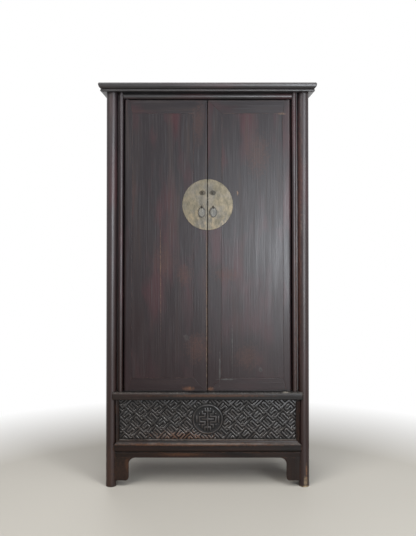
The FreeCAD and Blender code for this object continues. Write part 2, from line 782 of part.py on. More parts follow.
def floors():
    notches = fuse("floor_notches", front_scribe, back_scribe)
    half_rail = "(side_rail_thickness / 2)"
    back_edge = f"(post_line - {half_rail} - seat)"
    low = "(rail_top - lower_ledge_drop + seat)"
    rail_middle = post_x(f"(({rail_under} + rail_top) / 2)")
    reach = f"({rail_middle} - {half_rail} - seat)"
    board = block("compartment_floor_board", (f"-{reach}", reach), (behind("(rail_back + seat)"), back_edge),
                  (low, f"{low} + lower_floor_thickness"))
    subpart("compartment_floor", cut("compartment_floor", board, notches))

    low = "(sill_top - ledge_drop + seat)"
    levels = (low, f"{low} + floor_thickness")
    rail_middle = post_x(f"(({sill_under} + sill_top) / 2)")
    reach = f"({rail_middle} - {half_rail} - seat)"
    width = (f"-{reach}", reach)
    front_board = block("front_floor_board", width, (behind("(sill_back + seat)"), "-lid_width / 2 - seat"),
                        levels)
    back_board = block("back_floor_board", width, ("lid_width / 2 + seat", back_edge), levels)
    boards = [cut("front_floor", front_board, front_scribe), cut("back_floor", back_board, back_scribe)]
    subpart("main_floor", group("main_floor", *boards))
    lid = body("floor_lid", "XY_Plane", rectangle(width, ("-lid_width / 2", "lid_width / 2")), *levels)
    subpart("floor_lid", lid)


# Doors
door_batten_shares = (0.12, 0.5, 0.88)


def door():
    middle = "(meeting_gap / 2)"
    front = proud("door_thickness / 2")
    back = behind("door_thickness / 2")
    head = f"({door_top} - door_top_rail_width)"
    foot = f"({door_bottom} + door_bottom_rail_width)"

    def inner(level):
        return f"({door_outer(level)} - outer_stile_width)"
    stile = f"({middle} + meeting_stile_width)"

    def panel_outline(grow):
        low = f"({foot} - {grow})"
        high = f"({head} + {grow})"
        return [(f"{stile} - {grow}", low), (f"{inner(low)} + {grow}", low),
                (f"{inner(high)} + {grow}", high), (f"{stile} - {grow}", high)]
    groove_front = proud("(door_thickness / 2 - door_groove_front)")
    groove = (f"{groove_front} - joint", f"{groove_front} + door_tongue_thickness + joint")

    def mitre(level):
        return f"({door_outer(level)} - door_thickness)"
    member_outlines = {
        "outer_stile": [(door_outer(door_bottom), door_bottom), (door_outer(door_top), door_top),
                        (mitre(door_top), door_top), (inner(head), head), (inner(foot), foot),
                        (mitre(door_bottom), door_bottom)],
        "meeting_stile": [(middle, door_bottom), (stile, foot), (stile, head), (middle, door_top)],
        "door_top_rail": [(f"{middle} + joint", door_top), (f"{stile} + joint", head),
                          (f"{inner(head)} - joint", head), (f"{mitre(door_top)} - joint", door_top)],
        "door_bottom_rail": [(f"{middle} + joint", door_bottom),
                             (f"{mitre(door_bottom)} - joint", door_bottom),
                             (f"{inner(foot)} - joint", foot), (f"{stile} + joint", foot)]}
    members = {}
    for name, outline in member_outlines.items():
        members[name] = body("right_" + name + "_member", "XZ_Plane", outline, front, back)
        add_pocket(members[name], "XZ_Plane", [panel_outline("door_tongue")], *groove)
    rounded.append(members["outer_stile"])
    subpart_pair("outer_stile", fuse("right_outer_stile", members["outer_stile"], *door_dowels("0")))
    subpart_pair("meeting_stile", cut("right_meeting_stile", members["meeting_stile"], shank_holes))
    for name in ("door_top_rail", "door_bottom_rail"):
        subpart_pair(name, members[name])

    panel = body("right_door_panel", "XZ_Plane", panel_outline("-joint"), front,
                 f"{front} + door_panel_thickness")
    add_pad(panel, "XZ_Plane", panel_outline("(door_tongue - seat)"), groove_front,
            f"{groove_front} + door_tongue_thickness")
    subpart_pair("door_panel", panel)

    battens = []
    batten_front = f"({front} + door_panel_thickness + seat)"
    for share in door_batten_shares:
        level = f"({foot} + ({head} - {foot}) * {share})"
        low = f"({level} - door_batten_height / 2)"
        high = f"({level} + door_batten_height / 2)"
        outline = [(f"{stile} + seat", low), (f"{inner(low)} - seat", low),
                   (f"{inner(high)} - seat", high), (f"{stile} + seat", high)]
        battens.append(body("right_door_batten", "XZ_Plane", outline, batten_front,
                            f"{batten_front} + door_batten_thickness"))
    subpart_pair("door_battens", group("right_door_battens", *battens))


def round_outer_edge(stile):
    base = stile.Tip
    edges = []
    places = sorted(number(door_outer(level)) for level in (door_bottom, door_top))
    for index, edge in enumerate(base.Shape.Edges, 1):
        ends = sorted(vertex.X for vertex in edge.Vertexes)
        if len(ends) == 2 and sum(abs(a - b) for a, b in zip(ends, places)) < number("joint"):
            edges.append(f"Edge{index}")
    rounding = stile.newObject("PartDesign::Fillet", stile.Name + "_fillet")
    rounding.Base = (base, edges)
    bind(rounding, "Radius", "(door_thickness - door_edge_flat) / 2")


# Door fittings
eye_places = {"lock": ("lock_eye_place", "(plate_centre + lock_eye_rise)"),
              "pull": ("pull_eye_place", "(plate_centre - pull_eye_drop)")}
plate_front = proud("(door_thickness / 2 + plate_thickness)")
eye_line = f"({plate_front} - washer_thickness / 2 - eye_radius)"
shank_start = f"({eye_line} + (eye_radius + eye_bore) / 2)"


def shank(name, x, level, grow):
    half_width = f"(eye_width / 2 + {grow})"
    half_height = f"(shank_height / 2 + {grow})"
    return block(name, (f"{x} - {half_width}", f"{x} + {half_width}"),
                 (shank_start, f"{plate_front} + plate_thickness + eye_shank + {grow}"),
                 (f"{level} - {half_height}", f"{level} + {half_height}"))


def eyes():
    pieces = []
    for name, (x, level) in eye_places.items():
        rods = [rod(name + "_eye_rod", radius, width, (f"{x} - {width} / 2", eye_line, level),
                    (0, 1, 0), "90")
                for radius, width in (("eye_radius", "eye_width"), ("eye_bore", "(eye_width + overrun)"))]
        ring = cut(name + "_ring", *rods)
        stem = shank(name + "_shank", x, level, "0")
        if name == "lock":
            flange = lock_washer(x, level)
        else:
            flange = rod("pull_collar", "collar_radius", "washer_thickness",
                         (x, f"{plate_front} - washer_thickness", level), (1, 0, 0), "-90")
        pieces.append(fuse(name + "_eye", ring, stem, flange))
    subpart_pair("eyes", group("right_eyes", *pieces))


def lock_washer(x, level):
    across = "(washer_width / 2)"
    rise = "(washer_height / 2)"
    outline = [(x, f"{level} + {rise}", "washer_curve", 1), (f"{x} - {across}", level, "washer_curve", 1),
               (x, f"{level} - {rise}", "washer_curve", 1), (f"{x} + {across}", level, "washer_curve", 1)]
    return body("lock_washer", "XZ_Plane", outline, f"{plate_front} - washer_thickness", plate_front)


def lock_plate():
    edge = "(meeting_gap / 2)"
    half = f"sqrt(plate_radius ^ 2 - {edge} ^ 2)"
    outline = [(edge, f"plate_centre - {half}"), ("plate_radius", "plate_centre", "plate_radius", 1),
               (edge, f"plate_centre + {half}", "plate_radius", 1)]
    plate = body("right_plate_sheet", "XZ_Plane", outline, plate_front, f"{plate_front} + plate_thickness")
    subpart_pair("lock_plate", cut("right_lock_plate", plate, shank_holes))


def pull_tab():
    x, level = eye_places["pull"]
    hole_level = f"({level} - (eye_radius + eye_bore) / 2)"
    hole_radius = "((eye_radius - eye_bore) / 2 + tab_hole_play)"
    head = f"({hole_level} + {hole_radius} + tab_head)"
    tip = f"({head} - tab_height)"
    widest = f"(({head} + {tip}) / 2)"
    end = "(tab_end_width / 2)"
    half = "(tab_width / 2)"
    high = f"({head} - tab_end_rise)"
    low = f"({tip} + tab_end_rise)"
    outline = [(f"{x} + {end}", high, "tab_side_curve", 1), (f"{x} - {end}", high, "tab_end_curve", 1),
               (f"{x} - {half}", widest, "tab_side_curve", 1), (f"{x} - {end}", low, "tab_side_curve", 1),
               (f"{x} + {end}", low, "tab_end_curve", 1), (f"{x} + {half}", widest, "tab_side_curve", 1)]
    leaf = body("right_tab_leaf", "XZ_Plane", outline, f"{eye_line} - tab_thickness / 2",
                f"{eye_line} + tab_thickness / 2")
    hole = rod("tab_hole", hole_radius, "tab_thickness + 2 * overrun",
               (x, f"{eye_line} - tab_thickness / 2 - overrun", hole_level), (1, 0, 0), "-90")
    subpart_pair("pull_tab", cut("right_pull_tab", leaf, hole))


# Carving: a diagonal fret of interlocked hooks beside a round medallion. Both are drawn as runs
# between the crossings of a square lattice, then widened to half of the lattice's pitch. Their
# places are shares of that pitch.
fret_step_shares = (4, 1)
fret_run_shares = (((0, 0), (5, 0)), ((0, 0), (0, 5)))
fret_hook_shares = (((0, 1), (3, 1), (3, 2), (1, 2), (1, 3), (3, 3)),
              ((3, 0), (3, 3), (2, 3), (2, 1), (1, 1), (1, 3)))
medallion_run_shares = (((0, 0), (0, 4)), ((0, 0), (2, 0)), ((1, 1), (3, 1), (3, 0)),
                        ((1, 1), (1, 2), (2, 2), (2, 3)), ((4, 0), (4, 1)), ((0, 3), (1, 3), (1, 4)),
                        ((3, 2), (3, 2)))


def lattice_cells(run):
    cells = set()
    for (x, y), (next_x, next_y) in zip(run, run[1:]):
        steps = 2 * max(abs(next_x - x), abs(next_y - y), 1)
        for step in range(steps + 1):
            cells.add((round(2 * x + 2 * (next_x - x) * step / steps),
                       round(2 * y + 2 * (next_y - y) * step / steps)))
    return cells


def cell_loops(cells):
    follow = {}
    for x, y in cells:
        sides = (((0, -1), (x, y), (x + 1, y)), ((1, 0), (x + 1, y), (x + 1, y + 1)),
                 ((0, 1), (x + 1, y + 1), (x, y + 1)), ((-1, 0), (x, y + 1), (x, y)))
        for (dx, dy), start, end in sides:
            if (x + dx, y + dy) not in cells:
                follow.setdefault(start, []).append(end)
    loops = []
    while follow:
        start = next(iter(follow))
        loop = [start]
        heading = None
        while True:
            here = loop[-1]
            choices = follow[here]
            turn = min(choices, key=lambda spot: left_first(heading, here, spot))
            choices.remove(turn)
            if not choices:
                del follow[here]
            heading = (turn[0] - here[0], turn[1] - here[1])
            if turn == start:
                break
            loop.append(turn)
        loops.append(corners_only(loop))
    return loops


def left_first(heading, here, spot):
    if heading is None:
        return 0
    way = (spot[0] - here[0], spot[1] - here[1])
    return -(heading[0] * way[1] - heading[1] * way[0])


def corners_only(loop):
    kept = []
    for index, spot in enumerate(loop):
        before = loop[index - 1]
        after = loop[(index + 1) % len(loop)]
        if (spot[0] - before[0]) * (after[1] - spot[1]) != (spot[1] - before[1]) * (after[0] - spot[0]):
            kept.append(spot)
    return kept


def relief(cells, turn, level, front, depth):
    half_pitch = number("fret_pitch") / 2
    cosine = math.cos(turn)
    sine = math.sin(turn)
    wires = []
    for loop in cell_loops(cells):
        spots = []
        for column, row in loop:
            x = (column - 0.5) * half_pitch
            z = (row - 0.5) * half_pitch
            spots.append(FreeCAD.Vector(x * cosine - z * sine, front, level + x * sine + z * cosine))
        wires.append(Part.makePolygon(spots + spots[:1]))
    face = Part.makeFace(wires, "Part::FaceMakerBullseye")
    return face.extrude(FreeCAD.Vector(0, depth, 0))


def fret_cells(half_width, half_height):
    cells = set()
    step_x, step_y = fret_step_shares
    span = step_x + step_y
    reach = math.ceil(half_width / step_x)
    for i in range(-reach, reach + 1):
        for j in range(-reach, reach + 1):
            x = i * step_x - j * step_y
            y = i * step_y + j * step_x
            across = abs(x - y) / math.sqrt(2)
            up = abs(x + y) / math.sqrt(2)
            if across > half_width + span or up > half_height + span:
                continue
            for run in fret_run_shares + (fret_hook_shares[(i + j) % 2],):
                cells |= lattice_cells([(x + a, y + b) for a, b in run])
    return cells


def medallion_cells():
    cells = set()
    for flip_x in (1, -1):
        for flip_y in (1, -1):
            for run in medallion_run_shares:
                cells |= lattice_cells([(flip_x * x, flip_y * y) for x, y in run])
    return cells


def carved_relief():
    low = number("rail_top")
    high = number(sill_under)
    half_width = number(half_opening)
    front = number(proud("(carving_ground_proud + carving_relief)"))
    root = number(proud("(carving_ground_proud - carving_relief / 2)"))
    depth = root - front
    level = (low + high) / 2
    pitch = number("fret_pitch")
    radius = number("medallion_radius")
    ring = number("medallion_ring")
    gap = number("medallion_gap")

    def disc(size):
        return Part.makeCylinder(size, depth, FreeCAD.Vector(0, front, level), FreeCAD.Vector(0, 1, 0))
    clear = number("seat")
    window = Part.makeBox(2 * (half_width - clear), depth, high - low - 2 * clear,
                          FreeCAD.Vector(clear - half_width, front, low + clear))
    half_extent = (half_width / pitch, (high - low) / pitch / 2)
    field = relief(fret_cells(*half_extent), math.pi / 4, level, front, depth)
    field = field.common(window.cut(disc(radius + gap)))
    core = relief(medallion_cells(), 0, level, front, depth).common(disc(radius - 2 * ring))
    band = disc(radius).cut(disc(radius - ring))
    band = band.fuse(core)
    return [field, band]


def carving_board(name, grow):
    reach = f"({post_x('rail_top')} - joint)"
    return block(name, (f"-({reach} + {grow})", f"{reach} + {grow}"),
                 (f"{proud('carving_ground_proud')} - {grow}", f"{behind('carving_board_back')} + {grow}"),
                 (f"rail_top - carving_tongue - {grow}", f"{sill_under} + carving_tongue + {grow}"))


def carved_panel(board):
    panel = doc.addObject("Part::Feature", "carved_panel")
    panel.Shape = board.Shape.fuse(carved_relief())
    subpart("carved_panel", panel)


carving_groove = carving_board("carving_groove", "seat")
shank_holes = fuse("shank_holes", *[shank(name + "_shank_hole", x, level, "eye_clearance")
                                    for name, (x, level) in eye_places.items()])
right_sockets = door_dowels("dowel_clearance")
door_sockets = fuse("door_sockets", *right_sockets,
                    *[mirrored("left_socket", socket) for socket in right_sockets])

cap()
posts()
lintel(door_sockets)
jambs()
sill(door_sockets)
bottom_rail()
panel_mouldings()
panel_board = cut("carved_panel_board", carving_board("carving_blank", "0"), front_scribe)
apron_and_brackets()
side_frame()
back_frame()
floors()
shelves()
door()
lock_plate()
eyes()
pull_tab()
doc.recompute()
carved_panel(panel_board)
for stile in rounded:
    round_outer_edge(stile)
doc.recompute()

# Checks and files
for item in doc.Objects:
    if "Invalid" in item.State or "Error" in item.State:
        raise RuntimeError(f"{item.Label} failed: {item.State}")
for before, after in pockets:
    if after.Shape.Volume >= before.Shape.Volume:
        raise RuntimeError(f"{after.Label} cuts nothing")
os.makedirs("parts", exist_ok=True)
for item in subparts:
    if item.Shape.isNull() or not item.Shape.isValid():
        raise RuntimeError(f"{item.Label} has no valid solid")
    item.Shape.exportStep(f"parts/{item.Label}.step")
    print(item.Label, len(item.Shape.Solids), round(item.Shape.Volume))
print(len(subparts), "sub-parts")
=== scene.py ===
import json
import math

import bmesh
import bpy
from mathutils import Matrix, Vector


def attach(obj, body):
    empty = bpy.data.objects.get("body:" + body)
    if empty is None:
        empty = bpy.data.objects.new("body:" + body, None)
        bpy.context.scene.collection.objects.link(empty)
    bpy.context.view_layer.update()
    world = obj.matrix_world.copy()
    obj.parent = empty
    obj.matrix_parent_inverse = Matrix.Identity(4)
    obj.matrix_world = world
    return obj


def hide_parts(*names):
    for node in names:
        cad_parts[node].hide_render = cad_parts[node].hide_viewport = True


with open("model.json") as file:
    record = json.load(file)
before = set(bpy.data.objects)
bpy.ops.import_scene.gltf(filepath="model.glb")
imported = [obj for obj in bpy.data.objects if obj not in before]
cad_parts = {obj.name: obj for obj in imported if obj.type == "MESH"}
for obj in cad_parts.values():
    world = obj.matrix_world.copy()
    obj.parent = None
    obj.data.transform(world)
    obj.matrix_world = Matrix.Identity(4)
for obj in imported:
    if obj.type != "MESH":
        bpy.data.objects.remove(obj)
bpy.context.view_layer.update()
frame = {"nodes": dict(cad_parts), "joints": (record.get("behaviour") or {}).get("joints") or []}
nodes = frame["nodes"]
scene = bpy.context.scene
print("frame loaded:", len(nodes), "nodes")


# Where the frame puts things
def boxOf(node):
    places = [vert.co for vert in nodes[node].data.vertices]
    return (Vector([min(spot[axis] for spot in places) for axis in range(3)]),
            Vector([max(spot[axis] for spot in places) for axis in range(3)]))


doorFront = boxOf("right_door_panel")[0].y
plateFront = boxOf("right_lock_plate")[0].y
carvedLow, carvedHigh = boxOf("carved_panel")
eyesLow, eyesHigh = boxOf("right_eyes")
tabLow, tabHigh = boxOf("right_pull_tab")
pullPivot = Vector(next(joint["pos_m"] for joint in frame["joints"] if joint["name"] == "right_pull_swing"))

# Camera, where the photographer stood
view = {
    "imageHeight": 536,
    "focalPixels": 703.5,
    "sensor": 36,
    "place": (0.002, -3.506, 1.305),
    "pitchDown": 4.41,
}
lens = bpy.data.cameras.new("camera")
lens.sensor_width = view["sensor"]
lens.lens = view["focalPixels"] * view["sensor"] / view["imageHeight"]  # sensor width is the long side
camera = bpy.data.objects.new("camera", lens)
scene.collection.objects.link(camera)
camera.location = view["place"]
camera.rotation_euler = (math.radians(90 - view["pitchDown"]), 0, 0)
scene.camera = camera
scene.view_settings.view_transform = "Standard"


# Small helpers for shader trees
def addNode(tree, kind, inputs=None, **settings):
    node = tree.nodes.new(kind)
    for key, value in settings.items():
        setattr(node, key, value)
    for key, value in (inputs or {}).items():
        if isinstance(value, bpy.types.NodeSocket):
            tree.links.new(value, node.inputs[key])
        else:
            node.inputs[key].default_value = value
    return node


def math2(tree, operation, first, second=0.0, clamp=False):
    return addNode(tree, "ShaderNodeMath", {0: first, 1: second}, operation=operation,
                   use_clamp=clamp).outputs[0]


def ramp(tree, value, low, high, toLow=0.0, toHigh=1.0):
    return addNode(tree, "ShaderNodeMapRange", {"Value": value, "From Min": low, "From Max": high,
                                                "To Min": toLow, "To Max": toHigh}).outputs["Result"]


def mixColour(tree, share, first, second):
    node = addNode(tree, "ShaderNodeMix", data_type="RGBA")
    for socket, value in (("Factor", share), ("A", first), ("B", second)):
        target = next(s for s in node.inputs if s.name == socket and s.enabled)
        if isinstance(value, bpy.types.NodeSocket):
            tree.links.new(value, target)
        else:
            target.default_value = value if socket == "Factor" else (*value, 1)
    return next(s for s in node.outputs if s.enabled)


noiseSpan = (0.3, 0.7)  # where nearly all values of a noise lie


def noise(tree, vector, scale, detail, offset=None):
    inputs = {"Vector": vector, "Scale": scale, "Detail": detail}
    if offset is not None:
        inputs["W"] = offset
    return addNode(tree, "ShaderNodeTexNoise", inputs,
                   noise_dimensions="3D" if offset is None else "4D").outputs["Fac"]


def scaled(tree, vector, scale):
    return addNode(tree, "ShaderNodeVectorMath", {0: vector, 1: scale}, operation="MULTIPLY").outputs[0]


def dotProduct(tree, first, second):
    return addNode(tree, "ShaderNodeVectorMath", {0: first, 1: second},
                   operation="DOT_PRODUCT").outputs["Value"]


def partOf(tree, vector, axis):
    return addNode(tree, "ShaderNodeSeparateXYZ", {0: vector}).outputs[axis]


def addBump(tree, shader, height, eased, strength, depth):
    bump = addNode(tree, "ShaderNodeBump", {"Strength": strength, "Distance": depth, "Height": height,
                                            "Normal": eased})
    tree.links.new(bump.outputs[0], shader.inputs["Normal"])


def newGroup(name, inputs, outputs):
    group = bpy.data.node_groups.new(name, "ShaderNodeTree")
    for label, kind, value in inputs:
        socket = group.interface.new_socket(label, in_out="INPUT", socket_type=kind)
        if value is not None:
            socket.default_value = value
    for label, kind in outputs:
        group.interface.new_socket(label, in_out="OUTPUT", socket_type=kind)
    return group, group.nodes.new("NodeGroupInput").outputs, group.nodes.new("NodeGroupOutput").inputs


# Shared effects
grainWork = {
    "Fine": {"along": 0.022, "scale": 300, "detail": 4},
    "Broad": {"along": 0.07, "scale": 42, "detail": 3},
    "Patches": {"along": 0.32, "scale": 11, "detail": 4},
}


def makeGrain():
    # Streaks that run along Z: a fine one, a broad one and patches of the undercoat
    group, given, out = newGroup("grain", [("Vector", "NodeSocketVector", None),
                                           ("Offset", "NodeSocketFloat", 0.0)],
                                 [("Fine", "NodeSocketFloat"), ("Broad", "NodeSocketFloat"),
                                  ("Patches", "NodeSocketFloat")])
    for socket, streak in grainWork.items():
        drawn = scaled(group, given["Vector"], (1, 1, streak["along"]))
        streaks = noise(group, drawn, streak["scale"], streak["detail"], given["Offset"])
        group.links.new(streaks, out[socket])
    return group


edgeWork = {
    "samples": 6, "starts": 0.995, "full": 0.85,
    "breakScale": 38, "breakDetail": 4, "breakLow": -0.04, "breakHigh": 0.1,
}


def makeEdgeWear():
    # A mask along the edges of a piece, broken up as rubbing leaves it, and the eased normal
    group, given, out = newGroup("edgeWear", [("Vector", "NodeSocketVector", None),
                                              ("Radius", "NodeSocketFloat", 0.003),
                                              ("Breakup", "NodeSocketFloat", 0.5)],
                                 [("Mask", "NodeSocketFloat"), ("Normal", "NodeSocketVector")])
    eased = addNode(group, "ShaderNodeBevel", {"Radius": given["Radius"]},
                    samples=edgeWork["samples"]).outputs[0]
    flat = group.nodes.new("ShaderNodeNewGeometry").outputs["Normal"]
    same = dotProduct(group, eased, flat)
    edge = ramp(group, same, edgeWork["starts"], edgeWork["full"])
    broken = noise(group, given["Vector"], edgeWork["breakScale"], edgeWork["breakDetail"])
    kept = ramp(group, math2(group, "SUBTRACT", broken, given["Breakup"]),
                edgeWork["breakLow"], edgeWork["breakHigh"])
    group.links.new(math2(group, "MULTIPLY", edge, kept), out["Mask"])
    group.links.new(eased, out["Normal"])
    return group


grimeAndShadeWork = {"samples": 6, "starts": 0.85, "full": 0.25}


def makeGrimeAndShade():
    # A mask in hollows and under mouldings: dirt and old lacquer that stay there, and painted shade where
    # little light gets in
    group, given, out = newGroup("grimeAndShade", [("Distance", "NodeSocketFloat", 0.02)],
                                 [("Mask", "NodeSocketFloat")])
    hidden = addNode(group, "ShaderNodeAmbientOcclusion", {"Distance": given["Distance"]},
                     samples=grimeAndShadeWork["samples"])
    group.links.new(ramp(group, hidden.outputs["AO"], grimeAndShadeWork["starts"], grimeAndShadeWork["full"]), out["Mask"])
    return group


dustWork = {
    "starts": 0.35, "full": 0.95,
    "patchScale": 16, "patchDetail": 4, "patchLow": 0.35, "patchHigh": 0.65,
}


def makeDust():
    # A thin film on what faces up
    group, given, out = newGroup("dust", [("Vector", "NodeSocketVector", None)],
                                 [("Mask", "NodeSocketFloat")])
    normal = group.nodes.new("ShaderNodeNewGeometry").outputs["Normal"]
    upward = ramp(group, partOf(group, normal, "Z"), dustWork["starts"], dustWork["full"])
    patches = noise(group, given["Vector"], dustWork["patchScale"], dustWork["patchDetail"])
    film = math2(group, "MULTIPLY", upward, ramp(group, patches, dustWork["patchLow"], dustWork["patchHigh"]))
    group.links.new(film, out["Mask"])
    return group


spotWork = {
    "starts": 1.15, "full": 0.3,
    "raggedScale": 90, "raggedDetail": 5, "raggedBy": 0.4,
    "streakScale": 240, "streakDetail": 4, "streakLow": 0.35, "streakHigh": 0.6, "streakLeast": 0.35,
}


def makeSpot():
    # A soft mark at a place, ragged at its edge and streaked inside
    group, given, out = newGroup("spot", [("Vector", "NodeSocketVector", None),
                                          ("Centre", "NodeSocketVector", None),
                                          ("Size", "NodeSocketVector", None)],
                                 [("Mask", "NodeSocketFloat")])
    away = addNode(group, "ShaderNodeVectorMath", {0: given["Vector"], 1: given["Centre"]},
                   operation="SUBTRACT").outputs[0]
    share = addNode(group, "ShaderNodeVectorMath", {0: away, 1: given["Size"]}, operation="DIVIDE").outputs[0]
    reach = addNode(group, "ShaderNodeVectorMath", {0: share}, operation="LENGTH").outputs["Value"]
    rough = noise(group, given["Vector"], spotWork["raggedScale"], spotWork["raggedDetail"])
    rough = ramp(group, rough, *noiseSpan, -spotWork["raggedBy"], spotWork["raggedBy"])
    ragged = math2(group, "ADD", reach, rough)
    streaks = noise(group, given["Vector"], spotWork["streakScale"], spotWork["streakDetail"])
    streaks = ramp(group, streaks, spotWork["streakLow"], spotWork["streakHigh"],
                   spotWork["streakLeast"], 1.0)
    mask = math2(group, "MULTIPLY", ramp(group, ragged, spotWork["starts"], spotWork["full"]), streaks)
    group.links.new(mask, out["Mask"])
    return group


effects = {"grain": makeGrain(), "edgeWear": makeEdgeWear(), "grimeAndShade": makeGrimeAndShade(), "dust": makeDust(),
           "spot": makeSpot()}


def place(tree, effect, **inputs):
    node = tree.nodes.new("ShaderNodeGroup")
    node.node_tree = effects[effect]
    for key, value in inputs.items():
        if isinstance(value, bpy.types.NodeSocket):
            tree.links.new(value, node.inputs[key])
        else:
            node.inputs[key].default_value = value
    return node.outputs


def newMaterial(name):
    material = bpy.data.materials.new(name)
    material.use_nodes = True
    tree = material.node_tree
    return material, tree, tree.nodes["Principled BSDF"]


# Wood grain runs along one axis, and each piece has its own part of the pattern
turnToGrain = {"x": (0, math.radians(90), 0), "y": (math.radians(90), 0, 0), "z": (0, 0, 0)}
grainSpread = 37.0
woodBump = {"strength": 0.5, "depth": 0.0008}


def placeGrain(tree, point, along):
    laid = addNode(tree, "ShaderNodeMapping", {"Vector": point, "Rotation": turnToGrain[along]}).outputs[0]
    offset = math2(tree, "MULTIPLY", tree.nodes.new("ShaderNodeObjectInfo").outputs["Random"], grainSpread)
    return place(tree, "grain", Vector=laid, Offset=offset)


# Lacquered wood
lacquerWork = {
    "patchShare": 0.8,
    "broadLow": 0.52, "broadHigh": 0.72, "broadShare": 0.55,
    "fineLow": 0.52, "fineHigh": 0.72, "fineShare": 0.5,
    "lowStarts": 1.35, "lowFull": 0.45, "lowSway": 0.35,
    "wornShare": 0.8, "wornDulls": 0.15, "darkShare": 0.9,
    "glossStarts": 0.35, "glossFull": 0.65,
}
doorLook = {"ground": (0.0135, 0.0100, 0.0120), "undercoat": (0.040, 0.0125, 0.0155),
            "brown": (0.030, 0.017, 0.013), "pale": (0.044, 0.041, 0.045), "worn": (0.075, 0.036, 0.026),
            "low": (0.0120, 0.0038, 0.0042), "lowShare": 0.85,
            "patchLow": 0.50, "patchHigh": 0.66, "wear": 0.5, "wearRadius": 0.002,
            "glossLow": 0.33, "glossHigh": 0.42, "shine": 0.22, "dust": 0.2, "grimeAndShadeReach": 0.010}
postLook = dict(doorLook, ground=(0.027, 0.0185, 0.0205), undercoat=(0.046, 0.018, 0.020), wear=0.46,
                wearRadius=0.003, glossLow=0.34, glossHigh=0.44, shine=0.32, worn=(0.10, 0.045, 0.032),
                grimeAndShadeReach=0.005, low=(0.019, 0.0075, 0.0055))
capLook = dict(doorLook, ground=(0.018, 0.0155, 0.0165), dust=0.15, worn=(0.12, 0.06, 0.04), shine=0.42,
               wearRadius=0.003, grimeAndShadeReach=0.006)
sideLook = dict(doorLook, glossLow=0.34, glossHigh=0.5)
railLook = {"ground": (0.0065, 0.0046, 0.0040), "undercoat": (0.022, 0.0095, 0.0065),
            "brown": (0.028, 0.0135, 0.0075), "pale": (0.022, 0.018, 0.016), "worn": (0.12, 0.052, 0.024),
            "low": (0.0065, 0.0046, 0.0040), "lowShare": 0.0,
            "patchLow": 0.47, "patchHigh": 0.66, "wear": 0.5, "wearRadius": 0.003,
            "glossLow": 0.28, "glossHigh": 0.46, "shine": 0.17, "dust": 0.55, "grimeAndShadeReach": 0.012}
footLook = dict(railLook, shine=0.12, glossLow=0.36, ground=(0.0068, 0.0045, 0.0036), dust=0.3)
carvedLook = dict(railLook, ground=(0.010, 0.0078, 0.0072), undercoat=(0.020, 0.012, 0.0095),
                  brown=(0.028, 0.016, 0.010), wear=0.9, grimeAndShadeReach=0.006, dust=0.1, shine=0.4)
# Colour of grime and of painted shade
grimeAndShadeColour = (0.0035, 0.003, 0.003)
dustColour = (0.15, 0.14, 0.13)


def addMark(tree, point, colour, mark):
    centre, size, tint, strength = mark
    mask = place(tree, "spot", Vector=point, Centre=centre, Size=size)["Mask"]
    mask = math2(tree, "MULTIPLY", mask, strength)
    return mixColour(tree, mask, colour, tint), mask


def paintRidgeLightAndShade(tree, point, colour, ridges):
    # Painted highlight on the crests of the fret that face the light and the front, less in the medallion;
    # painted shade on the ground between the crests
    normal = tree.nodes.new("ShaderNodeNewGeometry").outputs["Normal"]
    facing = dotProduct(tree, normal, ridges["light"])
    raised = ramp(tree, partOf(tree, point, "Y"), carvedLow.y + ridges["groundDepth"],
                  carvedLow.y + ridges["crestDepth"])
    ahead = dotProduct(tree, normal, (0, -1, 0))
    patches = noise(tree, point, ridges["patchScale"], ridges["patchDetail"])
    away = addNode(tree, "ShaderNodeVectorMath", {0: point, 1: ridges["medallion"]},
                   operation="DISTANCE").outputs["Value"]
    litCrests = raised
    for mask in (ramp(tree, facing, ridges["facingLow"], ridges["facingHigh"]),
                 ramp(tree, ahead, ridges["aheadLow"], ridges["aheadHigh"]),
                 ramp(tree, patches, ridges["patchLow"], ridges["patchHigh"], ridges["patchLeast"], 1.0),
                 ramp(tree, away, ridges["ringEdge"], ridges["fretEdge"], ridges["ringShare"], 1.0)):
        litCrests = math2(tree, "MULTIPLY", litCrests, mask)
    return mixColour(tree, litCrests, colour, ridges["colour"]), math2(tree, "SUBTRACT", 1.0, raised)


